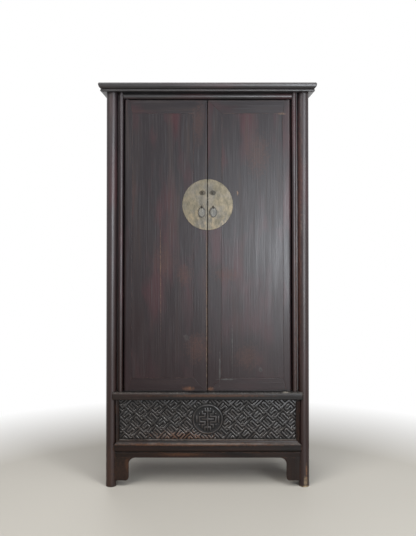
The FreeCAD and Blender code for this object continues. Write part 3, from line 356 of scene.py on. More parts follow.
def lacquer(name, along, look, marks=(), ridges=None, shadesAndChips=()):
    work = lacquerWork
    material, tree, shader = newMaterial(name)
    point = tree.nodes.new("ShaderNodeTexCoord").outputs["Object"]
    grain = placeGrain(tree, point, along)
    edge = place(tree, "edgeWear", Vector=point, Radius=look["wearRadius"], Breakup=look["wear"])
    hollowGrimeAndShade = place(tree, "grimeAndShade", Distance=look["grimeAndShadeReach"])
    film = place(tree, "dust", Vector=point)
    patches = ramp(tree, grain["Patches"], look["patchLow"], look["patchHigh"], 0, work["patchShare"])
    broad = ramp(tree, grain["Broad"], work["broadLow"], work["broadHigh"], 0, work["broadShare"])
    fine = ramp(tree, grain["Fine"], work["fineLow"], work["fineHigh"], 0, work["fineShare"])
    colour = mixColour(tree, patches, look["ground"], look["undercoat"])
    colour = mixColour(tree, broad, colour, look["brown"])
    colour = mixColour(tree, fine, colour, look["pale"])
    # Darker and redder towards the bottom
    sway = ramp(tree, grain["Patches"], *noiseSpan, -work["lowSway"], work["lowSway"])
    rise = math2(tree, "ADD", partOf(tree, point, "Z"), sway)
    low = ramp(tree, rise, work["lowStarts"], work["lowFull"], 0, look["lowShare"])
    colour = mixColour(tree, low, colour, look["low"])
    colour = mixColour(tree, math2(tree, "MULTIPLY", edge["Mask"], work["wornShare"]), colour, look["worn"])
    worn = edge["Mask"]
    for mark in marks:
        colour, mask = addMark(tree, point, colour, mark)
        worn = math2(tree, "MAXIMUM", worn, mask)
    # Grime and painted shade in hollows and under mouldings
    dark = hollowGrimeAndShade["Mask"]
    # Painted highlight on the fret's crests and painted shade on its ground
    if ridges:
        colour, ground = paintRidgeLightAndShade(tree, point, colour, ridges)
        dark = math2(tree, "MAXIMUM", dark, ground)
    colour = mixColour(tree, math2(tree, "MULTIPLY", dark, work["darkShare"]), colour, grimeAndShadeColour)
    colour = mixColour(tree, math2(tree, "MULTIPLY", film["Mask"], look["dust"]), colour, dustColour)
    # Painted shade over the dust in seams, undersides and highlights, with rougher lacquer there, and pale
    # chips
    for shadeAndChip in shadesAndChips:
        colour, mask = addMark(tree, point, colour, shadeAndChip)
        dark = math2(tree, "MAXIMUM", dark, mask)
    tree.links.new(colour, shader.inputs["Base Color"])
    rough = ramp(tree, grain["Broad"], work["glossStarts"], work["glossFull"], look["glossLow"],
                 look["glossHigh"])
    rough = math2(tree, "ADD", rough, math2(tree, "MULTIPLY", worn, work["wornDulls"]))
    rough = math2(tree, "MAXIMUM", rough, math2(tree, "MULTIPLY", dark, work["darkShare"]))
    tree.links.new(rough, shader.inputs["Roughness"])
    shader.inputs["Specular IOR Level"].default_value = look["shine"]
    addBump(tree, shader, grain["Fine"], edge["Normal"], woodBump["strength"], woodBump["depth"])
    return material


# Bare wood of the back and the inside
bareLook = {
    "ground": (0.23, 0.135, 0.075),
    "streak": (0.13, 0.072, 0.04), "streakLow": 0.35, "streakHigh": 0.7,
    "stain": (0.075, 0.05, 0.035), "stainLow": 0.5, "stainHigh": 0.75, "stainShare": 0.6,
    "darkest": 0.65, "lightest": 1.2, "glossLow": 0.55, "glossHigh": 0.75,
    "wearRadius": 0.002, "wear": 0.4,
    "grimeAndShade": (0.03, 0.02, 0.014), "grimeAndShadeReach": 0.04, "grimeAndShadeShare": 0.6,
}


def bareWood(name, along):
    look = bareLook
    material, tree, shader = newMaterial(name)
    point = tree.nodes.new("ShaderNodeTexCoord").outputs["Object"]
    grain = placeGrain(tree, point, along)
    edge = place(tree, "edgeWear", Vector=point, Radius=look["wearRadius"], Breakup=look["wear"])
    hollowGrimeAndShade = place(tree, "grimeAndShade", Distance=look["grimeAndShadeReach"])
    streaks = ramp(tree, grain["Broad"], look["streakLow"], look["streakHigh"])
    stains = ramp(tree, grain["Patches"], look["stainLow"], look["stainHigh"], 0, look["stainShare"])
    shade = ramp(tree, grain["Fine"], *noiseSpan, look["darkest"], look["lightest"])
    colour = mixColour(tree, streaks, look["ground"], look["streak"])
    colour = mixColour(tree, stains, colour, look["stain"])
    colour = scaled(tree, colour, shade)
    # Grime and painted shade in hollows
    dark = math2(tree, "MULTIPLY", hollowGrimeAndShade["Mask"], look["grimeAndShadeShare"])
    colour = mixColour(tree, dark, colour, look["grimeAndShade"])
    tree.links.new(colour, shader.inputs["Base Color"])
    rough = ramp(tree, grain["Fine"], *noiseSpan, look["glossLow"], look["glossHigh"])
    tree.links.new(rough, shader.inputs["Roughness"])
    addBump(tree, shader, grain["Fine"], edge["Normal"], woodBump["strength"], woodBump["depth"])
    return material


# Brass
brassLooks = {
    "plateBrass": {"ground": (0.082, 0.070, 0.048), "warm": (0.120, 0.089, 0.053),
                   "grey": (0.077, 0.069, 0.056), "dark": (0.030, 0.024, 0.017), "gloss": 0.44, "metal": 0.7},
    "eyeBrass": {"ground": (0.030, 0.025, 0.019), "warm": (0.05, 0.037, 0.024),
                 "grey": (0.045, 0.042, 0.036), "dark": (0.010, 0.008, 0.007), "gloss": 0.30, "metal": 0.8},
    "leafBrass": {"ground": (0.034, 0.027, 0.018), "warm": (0.050, 0.036, 0.022),
                  "grey": (0.031, 0.027, 0.021), "dark": (0.012, 0.010, 0.008), "gloss": 0.42, "metal": 0.7},
    "tabBrass": {"ground": (0.085, 0.080, 0.067), "warm": (0.095, 0.083, 0.065),
                 "grey": (0.088, 0.085, 0.078), "dark": (0.016, 0.014, 0.012), "gloss": 0.42, "metal": 0.7},
}
brassWork = {
    "wearRadius": 0.001, "wear": 0.35, "grimeAndShadeReach": 0.006, "darkShare": 0.85,
    "cloudScale": 20, "cloudDetail": 4, "cloudLow": 0.45, "cloudHigh": 0.62,
    "mottleScale": 75, "mottleDetail": 5, "mottleAlong": 0.6, "mottleLow": 0.45, "mottleHigh": 0.68,
    "speckScale": 420, "speckDetail": 3, "speckAlong": 0.25, "speckDark": 0.78, "speckLight": 1.16,
    "shadeLow": 0.25, "shadeHigh": 0.6, "shadeDark": 0.8, "shadeLight": 1.08,
    "warmStarts": 1.43, "warmFull": 1.31, "warmSway": 0.16, "warmLeast": 0.25,
    "duller": 0.12, "brighter": 0.08, "bump": 0.5, "bumpDepth": 0.0006,
}


def brass(name, look):
    work = brassWork
    material, tree, shader = newMaterial(name)
    point = tree.nodes.new("ShaderNodeTexCoord").outputs["Object"]
    edge = place(tree, "edgeWear", Vector=point, Radius=work["wearRadius"], Breakup=work["wear"])
    hollowGrimeAndShade = place(tree, "grimeAndShade", Distance=work["grimeAndShadeReach"])
    cloud = noise(tree, point, work["cloudScale"], work["cloudDetail"])
    mottle = noise(tree, scaled(tree, point, (1, 1, work["mottleAlong"])), work["mottleScale"],
                   work["mottleDetail"])
    speck = noise(tree, scaled(tree, point, (1, 1, work["speckAlong"])), work["speckScale"],
                  work["speckDetail"])
    rise = math2(tree, "ADD", partOf(tree, point, "Z"), math2(tree, "MULTIPLY", cloud, work["warmSway"]))
    low = ramp(tree, rise, work["warmStarts"], work["warmFull"])
    colour = mixColour(tree, ramp(tree, cloud, work["cloudLow"], work["cloudHigh"]), look["ground"],
                       look["grey"])
    warmth = math2(tree, "MULTIPLY", ramp(tree, mottle, work["mottleLow"], work["mottleHigh"]),
                   ramp(tree, low, 0, 1, work["warmLeast"], 1.0))
    colour = mixColour(tree, warmth, colour, look["warm"])
    specked = ramp(tree, speck, *noiseSpan, work["speckDark"], work["speckLight"])
    mottled = ramp(tree, mottle, work["shadeLow"], work["shadeHigh"], work["shadeDark"], work["shadeLight"])
    colour = scaled(tree, colour, math2(tree, "MULTIPLY", specked, mottled))
    # Dark patina and painted shade in hollows, and towards a pull tab's rim
    dark = hollowGrimeAndShade["Mask"]
    if "fade" in look:
        dark = math2(tree, "MAXIMUM", dark, look["fade"](tree, point))
    colour = mixColour(tree, math2(tree, "MULTIPLY", dark, work["darkShare"]), colour, look["dark"])
    tree.links.new(colour, shader.inputs["Base Color"])
    rough = ramp(tree, mottle, *noiseSpan, look["gloss"] + work["duller"], look["gloss"] - work["brighter"])
    tree.links.new(rough, shader.inputs["Roughness"])
    shader.inputs["Metallic"].default_value = look["metal"]
    addBump(tree, shader, mottle, edge["Normal"], work["bump"], work["bumpDepth"])
    return material


# Small helpers for meshes
mergeReach = 0.00001
flatAngle = math.radians(1)


def movedTo(mesh, spot):
    bmesh.ops.translate(mesh, verts=mesh.verts[:], vec=spot)


def turned(mesh, degrees, axis):
    bmesh.ops.rotate(mesh, verts=mesh.verts[:], cent=(0, 0, 0),
                     matrix=Matrix.Rotation(math.radians(degrees), 3, axis))


def joined(target, part):
    held = bpy.data.meshes.new("held")
    part.to_mesh(held)
    part.free()
    target.from_mesh(held)
    bpy.data.meshes.remove(held)


def softened(mesh, edges, reach, rounds=2):
    bmesh.ops.bevel(mesh, geom=edges, offset=reach, offset_type="OFFSET", segments=rounds, profile=0.5,
                    affect="EDGES", clamp_overlap=True, material=-1)


def cleanCopy(node):
    # A CAD node's loose triangles, merged and with its flat faces whole again
    mesh = bmesh.new()
    mesh.from_mesh(nodes[node].data)
    bmesh.ops.remove_doubles(mesh, verts=mesh.verts[:], dist=mergeReach)
    bmesh.ops.dissolve_limit(mesh, angle_limit=flatAngle, verts=mesh.verts[:], edges=mesh.edges[:])
    return mesh


def edgesOver(mesh, degrees):
    return [edge for edge in mesh.edges
            if len(edge.link_faces) == 2 and edge.calc_face_angle() > math.radians(degrees)]


def makePiece(name, mesh, finish, body, slot, *replaced, recalculate=True):
    if recalculate:
        bmesh.ops.recalc_face_normals(mesh, faces=mesh.faces[:])
    data = bpy.data.meshes.new(name)
    mesh.to_mesh(data)
    mesh.free()
    data.materials.append(finishes[finish])
    item = bpy.data.objects.new(name, data)
    scene.collection.objects.link(item)
    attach(item, body)
    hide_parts(*replaced)
    return item


# Carved panel: its ridges rounded over, as a chisel and long dusting leave them
carving = {"roundOver": 0.0022, "rounds": 3, "crestDepth": 0.0005, "easedAbove": 40}


def makeCarving():
    mesh = cleanCopy("carved_panel")
    crest = [edge for edge in edgesOver(mesh, carving["easedAbove"])
             if all(vert.co.y < carvedLow.y + carving["crestDepth"] for vert in edge.verts)]
    softened(mesh, crest, carving["roundOver"], carving["rounds"])
    for face in mesh.faces:
        face.smooth = True
    makePiece("carvedPanelRelief", mesh, "carved", "carcass", "brown_lacquered_wood", "carved_panel",
              recalculate=False)


# Eyes of the lock and of the pulls, bent from wire, each on its own small plate
eyeWork = {
    "ring": 0.005, "wire": 0.0014, "wireWidth": 0.0015, "wireSides": 12, "steps": 28,
    "shankWidth": 0.003, "shankHeight": 0.004, "shankEase": 0.0004,
    "leafArc": 0.01573, "leafDrop": 0.00473, "leafThickness": 0.0012, "leafSides": 72,
    # Each step of the dished leaf: how far in, how far up or down, and its share of the width left
    "leafSteps": ((0.0006, 0.0003, 1.0), (0.0003, -0.0005, 0.86), (0.0003, 0.0006, 0.60)),
    "collar": 0.005, "collarThickness": 0.0012, "collarTaper": 0.9, "collarSides": 36,
    "collarEase": 0.00025,
}
leafReach = eyeWork["leafArc"] - eyeWork["leafDrop"]
eyePlaces = {
    "lock": ((eyesLow.x + eyesHigh.x) / 2, eyesHigh.z - leafReach),
    "pull": (pullPivot.x, pullPivot.z),
}


def makeRing(x, level):
    ring = bmesh.new()
    centre = Vector((x, pullPivot.y, level))
    bmesh.ops.create_circle(ring, segments=eyeWork["wireSides"], radius=eyeWork["wire"])
    turned(ring, 90, "X")
    bmesh.ops.scale(ring, verts=ring.verts[:], vec=(eyeWork["wireWidth"] / eyeWork["wire"], 1, 1))
    movedTo(ring, centre + Vector((0, 0, eyeWork["ring"])))
    bmesh.ops.spin(ring, geom=ring.verts[:] + ring.edges[:], cent=centre, axis=(1, 0, 0),
                   angle=math.radians(360), steps=eyeWork["steps"], use_merge=True)
    return ring


def makeShank(x, level):
    shank = bmesh.new()
    start = pullPivot.y + eyeWork["ring"]
    bmesh.ops.create_cube(shank, size=1)
    bmesh.ops.scale(shank, verts=shank.verts[:],
                    vec=(eyeWork["shankWidth"], eyesHigh.y - start, eyeWork["shankHeight"]))
    softened(shank, shank.edges[:], eyeWork["shankEase"])
    movedTo(shank, (x, (start + eyesHigh.y) / 2, level))
    return shank


def makeEyes(side, sign):
    eyes = bmesh.new()
    for purpose in ("lock", "pull"):
        across, level = eyePlaces[purpose]
        x = sign * across
        joined(eyes, makeRing(x, level))
        joined(eyes, makeShank(x, level))
        before = len(eyes.faces)
        joined(eyes, makeLeaf(x, level) if purpose == "lock" else makeCollar(x, level))
        eyes.faces.ensure_lookup_table()
        for face in eyes.faces[before:]:
            face.material_index = 1
    for face in eyes.faces:
        face.smooth = True
    item = makePiece(side + "Eyes", eyes, "eyeBrass", side + "_door", "dark_brass", side + "_eyes")
    item.data.materials.append(finishes["leafBrass"])


def makeLeaf(x, level):
    # Half of a pointed oval, mirrored into the whole, then given its thickness and its dished front
    leaf = bmesh.new()
    bmesh.ops.create_circle(leaf, cap_ends=True, segments=eyeWork["leafSides"], radius=eyeWork["leafArc"])
    movedTo(leaf, (0, -eyeWork["leafDrop"], 0))
    bmesh.ops.bisect_plane(leaf, geom=leaf.verts[:] + leaf.edges[:] + leaf.faces[:], plane_co=(0, 0, 0),
                           plane_no=(0, 1, 0), clear_inner=True)
    bmesh.ops.mirror(leaf, geom=leaf.verts[:] + leaf.edges[:] + leaf.faces[:], axis="Y",
                     merge_dist=mergeReach)
    bmesh.ops.remove_doubles(leaf, verts=leaf.verts[:], dist=mergeReach)
    bmesh.ops.recalc_face_normals(leaf, faces=leaf.faces[:])
    bmesh.ops.dissolve_faces(leaf, faces=leaf.faces[:])
    if leaf.faces[:][0].normal.z < 0:
        bmesh.ops.reverse_faces(leaf, faces=leaf.faces[:])
    front = bmesh.ops.extrude_face_region(leaf, geom=leaf.faces[:])["geom"]
    top = [item for item in front if isinstance(item, bmesh.types.BMFace)]
    bmesh.ops.translate(leaf, verts=top[0].verts[:], vec=(0, 0, eyeWork["leafThickness"]))
    for inset, rise, share in eyeWork["leafSteps"]:
        bmesh.ops.inset_individual(leaf, faces=top, thickness=inset, depth=rise)
        bmesh.ops.scale(leaf, verts=top[0].verts[:], vec=(share, share, 1))
    turned(leaf, 90, "X")
    movedTo(leaf, (x, plateFront, level))
    return leaf


def makeCollar(x, level):
    collar = bmesh.new()
    bmesh.ops.create_cone(collar, cap_ends=True, segments=eyeWork["collarSides"], radius1=eyeWork["collar"],
                          radius2=eyeWork["collar"] * eyeWork["collarTaper"],
                          depth=eyeWork["collarThickness"])
    softened(collar, collar.edges[:], eyeWork["collarEase"])
    turned(collar, 90, "X")
    movedTo(collar, (x, plateFront - eyeWork["collarThickness"] / 2, level))
    return collar


# Pull tabs: a raised rim round a sunk leaf with its ribs; the oval ends 0.03 mm past the CAD tab's
tabMiddle = (tabLow + tabHigh) / 2
tabWork = {
    "halfWidth": (tabHigh.x - tabLow.x) / 2, "halfHeight": 0.0241,
    "sides": 64, "ease": 0.0003, "easedAbove": 60, "rim": 0.0019, "sunk": 0.0007,
    "hole": 0.0026, "holeRise": 0.0194, "holeCollar": 0.0042, "collarSquash": 0.95, "collarDrop": 0.0022,
    "rib": 0.0009, "ribEase": 0.0002, "ribs": 5, "ribSpacing": 0.0062, "ribLean": 38, "lowestRib": -0.0175,
    "ribReach": 0.8, "ribSet": 0.004, "ribLap": 1.05, "ribLift": 0.003,
    "stemAcross": 0.0005, "stemLength": 0.031, "stemRise": -0.0035,
    "fadeStarts": 0.70, "fadeFull": 0.90,
}


def tabRimShadeAndGrime(tree, point):
    # Dark towards the rim of a pull tab: painted shade along its edge, and grime where fingers don't polish
    # it
    parts = addNode(tree, "ShaderNodeSeparateXYZ", {0: point}).outputs
    across = math2(tree, "SUBTRACT", math2(tree, "ABSOLUTE", parts["X"]), tabMiddle.x)
    across = math2(tree, "DIVIDE", across, tabWork["halfWidth"])
    rise = math2(tree, "DIVIDE", math2(tree, "SUBTRACT", parts["Z"], tabMiddle.z), tabWork["halfHeight"])
    both = addNode(tree, "ShaderNodeCombineXYZ", {"X": across, "Y": rise}).outputs[0]
    reach = addNode(tree, "ShaderNodeVectorMath", {0: both}, operation="LENGTH").outputs["Value"]
    return ramp(tree, reach, tabWork["fadeStarts"], tabWork["fadeFull"])


brassLooks["tabBrass"]["fade"] = tabRimShadeAndGrime


def ovalLoop(mesh, halfWidth, halfHeight, rise=0.0):
    verts = bmesh.ops.create_circle(mesh, segments=tabWork["sides"], radius=1)["verts"]
    bmesh.ops.scale(mesh, verts=verts, vec=(halfWidth, halfHeight, 1))
    bmesh.ops.translate(mesh, verts=verts, vec=(0, rise, 0))
    return list({edge for vert in verts for edge in vert.link_edges})


def makeTab(side, sign):
    tab = bmesh.new()
    rim = tabWork["rim"]
    loops = [ovalLoop(tab, tabWork["halfWidth"], tabWork["halfHeight"]),
             ovalLoop(tab, tabWork["halfWidth"] - rim, tabWork["halfHeight"] - rim),
             ovalLoop(tab, tabWork["holeCollar"], tabWork["holeCollar"] * tabWork["collarSquash"],
                      tabWork["holeRise"] - tabWork["collarDrop"]),
             ovalLoop(tab, tabWork["hole"], tabWork["hole"], tabWork["holeRise"])]
    sheet = [bmesh.ops.bridge_loops(tab, edges=outer + inner)["faces"]
             for outer, inner in zip(loops, loops[1:])]
    bmesh.ops.recalc_face_normals(tab, faces=tab.faces[:])
    if tab.faces[0].normal.z < 0:
        bmesh.ops.reverse_faces(tab, faces=tab.faces[:])
    sunk = [face for face in tab.faces if face in sheet[1]]
    whole = bmesh.ops.extrude_face_region(tab, geom=tab.faces[:], use_keep_orig=True)["geom"]
    behind = [item for item in whole if isinstance(item, bmesh.types.BMVert)]
    bmesh.ops.translate(tab, verts=behind, vec=(0, 0, tabLow.y - tabHigh.y))
    floor = bmesh.ops.extrude_face_region(tab, geom=sunk)["geom"]
    bmesh.ops.delete(tab, geom=sunk, context="FACES_ONLY")
    bmesh.ops.delete(tab, geom=[edge for edge in tab.edges if not edge.link_faces], context="EDGES")
    bmesh.ops.translate(tab, verts=[item for item in floor if isinstance(item, bmesh.types.BMVert)],
                        vec=(0, 0, -tabWork["sunk"]))
    bmesh.ops.recalc_face_normals(tab, faces=tab.faces[:])
    softened(tab, edgesOver(tab, tabWork["easedAbove"]), tabWork["ease"])
    addRibs(tab)
    turned(tab, 90, "X")
    movedTo(tab, (sign * tabMiddle.x, tabLow.y, tabMiddle.z))
    makePiece(side + "PullTab", tab, "tabBrass", side + "_pull", "grey_brass", side + "_pull_tab")


def addRibs(tab):
    # A stem, and pairs of ribs that lean up from it as far as the oval lets them
    joined(tab, makeRib(tabWork["stemAcross"], tabWork["stemLength"], 0, tabWork["stemRise"]))
    for count in range(tabWork["ribs"]):
        rise = tabWork["lowestRib"] + count * tabWork["ribSpacing"]
        height = (rise + tabWork["ribSet"]) / tabWork["halfHeight"]
        reach = tabWork["ribReach"] * math.sqrt(max(1 - height ** 2, 0)) * tabWork["halfWidth"]
        for way in (1, -1):
            joined(tab, makeRib(way * reach / 2, reach * tabWork["ribLap"], way * (90 - tabWork["ribLean"]),
                                rise + tabWork["ribLift"]))


def makeRib(across, length, lean, rise):
    rib = bmesh.new()
    bmesh.ops.create_cube(rib, size=1)
    bmesh.ops.scale(rib, verts=rib.verts[:], vec=(tabWork["rib"], length, tabWork["rib"]))
    softened(rib, rib.edges[:], tabWork["ribEase"])
    turned(rib, -lean, "Z")
    movedTo(rib, (across, rise, -tabWork["sunk"]))
    return rib


# Lock plates: the CAD half discs with their edges eased
plateWork = {"ease": 0.0004, "rounds": 2, "easedAbove": 35}


def makePlate(side):
    plate = cleanCopy(side + "_lock_plate")
    sharp = [edge for edge in edgesOver(plate, plateWork["easedAbove"]) if edge.is_convex]
    softened(plate, sharp, plateWork["ease"], plateWork["rounds"])
    makePiece(side + "LockPlate", plate, "plateBrass", side + "_door", "aged_brass", side + "_lock_plate",
              recalculate=False)


# Marks: middle, reach each way, colour and strength. Most are places rubbed or darkened by hands, feet and
# years; painted light and shade among them are noted at each
tan = (0.17, 0.105, 0.065)
rust = (0.15, 0.062, 0.028)
grey = (0.085, 0.088, 0.082)
ember = (0.062, 0.024, 0.016)
straw = (0.24, 0.17, 0.10)
endGrain = (0.34, 0.25, 0.13)
copper = (0.19, 0.085, 0.035)
umber = (0.040, 0.015, 0.007)
ash = (0.10, 0.10, 0.085)
wine = (0.085, 0.030, 0.022)
brick = (0.15, 0.070, 0.052)
dusty = (0.120, 0.096, 0.082)
bark = (0.036, 0.017, 0.010)
bone = (0.42, 0.38, 0.32)
doorMarks = [((0.231, doorFront, 1.578), (0.055, 0.01, 0.10), ember, 0.45),
             ((-0.107, doorFront, 1.018), (0.035, 0.01, 0.05), ember, 0.55),
             ((0.085, doorFront, 1.020), (0.060, 0.01, 0.035), ember, 0.5),
             ((-0.200, doorFront, 1.080), (0.050, 0.01, 0.08), ember, 0.4),
             ((-0.040, doorFront, 1.720), (0.030, 0.01, 0.10), ember, 0.4),
             ((-0.050, doorFront, 0.670), (0.060, 0.01, 0.07), ember, 0.55),
             ((0.190, doorFront, 0.630), (0.070, 0.01, 0.06), ember, 0.45),
             ((-0.091, doorFront, 0.476), (0.028, 0.02, 0.012), rust, 0.8),
             ((0.014, doorFront, 0.472), (0.016, 0.02, 0.014), rust, 0.7),
             ((0.139, doorFront, 1.402), (0.0035, 0.01, 0.014), tan, 1.0),
             ((-0.0035, doorFront, 0.90), (0.0035, 0.03, 0.50), tan, 0.7),
             ((0.345, doorFront, 1.765), (0.022, 0.01, 0.004), tan, 0.5),
             ((-0.2205, doorFront, 1.04), (0.0018, 0.02, 0.26), tan, 0.6),
             ((0.1165, doorFront, 0.68), (0.0020, 0.02, 0.12), grey, 0.6),
             ((0.0575, doorFront, 0.575), (0.0035, 0.01, 0.08), grey, 0.6),
             ((0.088, doorFront, 0.5215), (0.044, 0.01, 0.0035), grey, 0.7),
             ((0.251, doorFront, 0.568), (0.011, 0.01, 0.013), grey, 0.45),
             ((0.252, doorFront, 0.566), (0.005, 0.01, 0.006), grimeAndShadeColour, 0.9),
             ((-0.100, doorFront, 0.722), (0.014, 0.01, 0.018), grey, 0.3),
             ((-0.100, doorFront, 0.724), (0.005, 0.01, 0.008), grimeAndShadeColour, 0.5)]
capMarks = [((0.200, -0.262, 1.886), (0.018, 0.03, 0.004), grey, 0.8)]
postMarks = [((0.470, -0.228, 0.022), (0.010, 0.03, 0.036), straw, 0.9),
             ((0.468, -0.226, 0.002), (0.022, 0.03, 0.006), endGrain, 0.9),
             ((0.473, -0.229, 0.075), (0.005, 0.03, 0.040), copper, 0.8),
             ((-0.475, -0.225, 0.08), (0.03, 0.04, 0.14), umber, 0.9),
             ((0.436, -0.23, 1.25), (0.006, 0.01, 0.06), ash, 0.5),
             ((-0.495, -0.205, 0.75), (0.012, 0.05, 1.1), wine, 0.7),
             ((0.497, -0.205, 0.75), (0.012, 0.05, 1.1), wine, 0.7),
             # Painted light: a lit red-brown on the right post's inner flank
             ((0.425, -0.205, 1.10), (0.016, 0.05, 0.7), brick, 0.6)]
railMarks = [((-0.05, -0.240, 0.208), (0.40, 0.03, 0.010), rust, 0.65),
             ((0.0, -0.240, 0.448), (0.30, 0.03, 0.008), rust, 0.4),
             # Painted shade under the sill's rounded front
             ((0.0, -0.240, 0.432), (0.60, 0.03, 0.010), grimeAndShadeColour, 0.75),
             ((0.0, -0.232, 0.2325), (0.52, 0.020, 0.007), dusty, 0.75)]
footMarks = [((-0.12, -0.222, 0.158), (0.12, 0.02, 0.008), rust, 0.4),
             ((-0.385, -0.222, 0.11), (0.012, 0.02, 0.035), rust, 0.45),
             ((-0.400, -0.222, 0.08), (0.07, 0.02, 0.08), bark, 0.7)]
carvedMarks = [((-0.11, carvedLow.y, 0.246), (0.16, 0.03, 0.028), rust, 0.6)]
# Painted highlight on the fret's crests that face a light from above, and painted shade on its ground
fretPaintedLight = {
    "light": (0.20, -0.15, 0.96), "groundDepth": 0.0028, "crestDepth": 0.0020, "colour": (0.56, 0.53, 0.49),
    "facingLow": 0.34, "facingHigh": 0.60, "aheadLow": 0.2, "aheadHigh": 0.5,
    "patchScale": 45, "patchDetail": 3, "patchLow": 0.36, "patchHigh": 0.56, "patchLeast": 0.25,
    "medallion": (0, carvedLow.y, (carvedLow.z + carvedHigh.z) / 2), "ringEdge": 0.072, "fretEdge": 0.085,
    "ringShare": 0.3,
}
# Over the dust: painted shade in seams and undersides where little light gets in, and over highlights on the
# cap's top band, its lip and the lintel; and the pale chip by the right door's corner
doorPaintedShade = [((0.0, doorFront, 0.4635), (0.9, 0.03, 0.0070), grimeAndShadeColour, 1.0),
             ((0.362, doorFront, 0.4655), (0.030, 0.03, 0.0110), grimeAndShadeColour, 1.0)]
railPaintedShadeAndChip = [((0.0, -0.220, 0.4630), (0.9, 0.0175, 0.020), grimeAndShadeColour, 1.0),
             ((0.0, -0.220, 0.4630), (0.9, 0.0160, 0.020), grimeAndShadeColour, 0.9),
             ((0.371, -0.225, 0.4625), (0.016, 0.0090, 0.010), bone, 0.9)]
capPaintedShade = [((0.0, -0.260, 1.8950), (2.5, 0.05, 0.0100), grimeAndShadeColour, 0.40),
            ((0.0, -0.250, 1.8690), (2.5, 0.05, 0.0050), grimeAndShadeColour, 0.55),
            ((0.0, -0.226, 1.8435), (2.5, 0.05, 0.0060), grimeAndShadeColour, 0.35)]

finishes = {
    "doorUpright": lacquer("doorUpright", "z", doorLook, doorMarks, shadesAndChips=doorPaintedShade),
    "doorCross": lacquer("doorCross", "x", doorLook, doorMarks, shadesAndChips=doorPaintedShade),
    "post": lacquer("post", "z", postLook, postMarks),
    "capX": lacquer("capX", "x", capLook, capMarks, shadesAndChips=capPaintedShade),
    "capY": lacquer("capY", "y", capLook),
    "railX": lacquer("railX", "x", railLook, railMarks, shadesAndChips=railPaintedShadeAndChip),
    "apronX": lacquer("apronX", "x", footLook, footMarks),
    "carved": lacquer("carved", "x", carvedLook, carvedMarks, fretPaintedLight),
    "railY": lacquer("railY", "y", footLook),
    "railZ": lacquer("railZ", "z", footLook, footMarks),
    "sideZ": lacquer("sideZ", "z", sideLook),
    "sideY": lacquer("sideY", "y", sideLook),
    "bareX": bareWood("bareX", "x"),
    "bareY": bareWood("bareY", "y"),
    "bareZ": bareWood("bareZ", "z"),
}
for name, look in brassLooks.items():
    finishes[name] = brass(name, look)

finishOf = {
    "doorUpright": ["outer_stile", "meeting_stile", "door_panel"],
    "doorCross": ["door_top_rail", "door_bottom_rail"],
    "post": ["front_right_post", "front_left_post", "back_right_post", "back_left_post", "jamb"],
    "capX": ["top_front_rail", "top_back_rail", "top_panel", "lintel"],
    "capY": ["top_right_rail", "top_left_rail"],
    "railX": ["door_sill", "bottom_rail"],
    "apronX": ["front_apron"],
    "carved": ["carved_panel"],
    "railY": ["side_apron"],
    "railZ": ["bracket", "side_brackets", "panel_mouldings"],
    "sideZ": ["side_panel", "lower_side_panel"],
    "sideY": ["middle_side_rail", "bottom_side_rail"],
    "bareX": ["back_middle_rail", "back_bottom_rail", "back_upper_rail", "compartment_floor", "main_floor",
              "floor_lid", "lower_shelf", "upper_shelf", "door_battens"],
    "bareY": ["top_battens", "shelf_bearers"],
    "bareZ": ["back_panel", "lower_back_panel"],
    "plateBrass": ["lock_plate"],
    "eyeBrass": ["eyes"],
    "tabBrass": ["pull_tab"],
}
finishByNode = {}
for finish, labels in finishOf.items():
    for label in labels:
        for node in (label, "right_" + label, "left_" + label):
            if node in nodes:
                finishByNode[node] = finish
for node, item in nodes.items():
    item.data.materials.clear()
    item.data.materials.append(finishes[finishByNode[node]])
print("finishes given to", len(finishByNode), "nodes")

# Pieces worked further than their plain solids
makeCarving()
for side, sign in (("right", 1), ("left", -1)):
    makeEyes(side, sign)
    makeTab(side, sign)
    makePlate(side)
print("brass and carving made")

# Floor, light and background
studio = {
    "floorSize": 9.0,
    "floorColour": (0.46, 0.435, 0.39),
    "floorRoughness": 0.6,
    "fadeCentre": (0, -1.0, 0),
    "fadeStart": 1.5,
    "fadeEnd": 2.4,
    "skyColour": (0.93, 0.96, 1.0),
    "skyLight": 0.13,
    "lampsAim": (0, 0, 0.95),
}


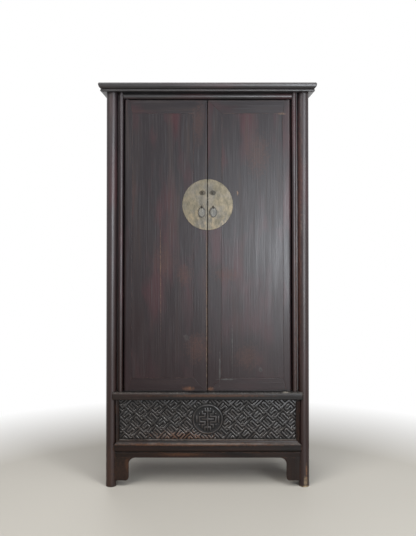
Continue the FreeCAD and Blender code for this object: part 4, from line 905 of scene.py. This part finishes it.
def makeFloor():
    plane = bmesh.new()
    bmesh.ops.create_grid(plane, x_segments=1, y_segments=1, size=studio["floorSize"] / 2)
    mesh = bpy.data.meshes.new("floor")
    plane.to_mesh(mesh)
    plane.free()
    floor = bpy.data.objects.new("floor", mesh)
    scene.collection.objects.link(floor)
    material, tree, shader = newMaterial("paleFloor")
    shader.inputs["Base Color"].default_value = (*studio["floorColour"], 1)
    shader.inputs["Roughness"].default_value = studio["floorRoughness"]
    point = tree.nodes.new("ShaderNodeTexCoord").outputs["Object"]
    away = addNode(tree, "ShaderNodeVectorMath", {0: point, 1: studio["fadeCentre"]},
                   operation="DISTANCE").outputs["Value"]
    fade = ramp(tree, away, studio["fadeStart"], studio["fadeEnd"])
    ray = tree.nodes.new("ShaderNodeLightPath").outputs
    seen = math2(tree, "ADD", ray["Is Camera Ray"], ray["Is Glossy Ray"], clamp=True)
    white = addNode(tree, "ShaderNodeEmission", {"Color": (1, 1, 1, 1), "Strength": 1.0}).outputs[0]
    share = math2(tree, "MULTIPLY", fade, seen)
    mixed = addNode(tree, "ShaderNodeMixShader", {0: share, 1: shader.outputs[0], 2: white})
    tree.links.new(mixed.outputs[0], tree.nodes["Material Output"].inputs["Surface"])
    mesh.materials.append(material)


def makeSky():
    world = bpy.data.worlds.new("sky")
    scene.world = world
    world.use_nodes = True
    tree = world.node_tree
    ray = tree.nodes.new("ShaderNodeLightPath").outputs
    seen = math2(tree, "ADD", ray["Is Camera Ray"], ray["Is Glossy Ray"])
    seen = math2(tree, "ADD", seen, ray["Is Transmission Ray"], clamp=True)
    back = tree.nodes["Background"]
    tree.links.new(mixColour(tree, seen, studio["skyColour"], (1, 1, 1)), back.inputs["Color"])
    tree.links.new(ramp(tree, seen, 0, 1, studio["skyLight"], 1.0), back.inputs["Strength"])


lamps = {
    "window": {"place": (0.98, -3.6, 0.98), "width": 0.9, "height": 1.0, "power": 126,
               "colour": (0.90, 0.95, 1.0), "sheenOnly": True},
    "right": {"place": (1.8, -2.6, 1.9), "width": 0.9, "height": 1.8, "power": 65,
              "colour": (0.93, 0.97, 1.0), "sheenOnly": False},
    "frontLeft": {"place": (-2.2, -3.0, 3.4), "width": 2.0, "height": 2.0, "power": 90,
                  "colour": (1.0, 0.985, 0.96), "sheenOnly": False},
    "above": {"place": (0.3, -1.4, 4.2), "width": 2.4, "height": 2.0, "power": 100,
              "colour": (1, 1, 1), "sheenOnly": False},
    "behind": {"place": (-0.8, 2.6, 3.9), "width": 2.4, "height": 1.6, "power": 36,
               "colour": (1, 1, 1), "sheenOnly": False},
}


def makeLamp(name, values):
    lamp = bpy.data.lights.new(name, "AREA")
    lamp.shape = "RECTANGLE"
    lamp.size = values["width"]
    lamp.size_y = values["height"]
    lamp.energy = values["power"]
    lamp.color = values["colour"]
    item = bpy.data.objects.new(name, lamp)
    item.location = values["place"]
    aim = Vector(studio["lampsAim"]) - item.location
    item.rotation_euler = aim.to_track_quat("-Z", "Y").to_euler()
    item.visible_diffuse = not values["sheenOnly"]  # the window shows in the lacquer and lights nothing else
    scene.collection.objects.link(item)


makeFloor()
makeSky()
for name, values in lamps.items():
    makeLamp(name, values)
print("studio made")
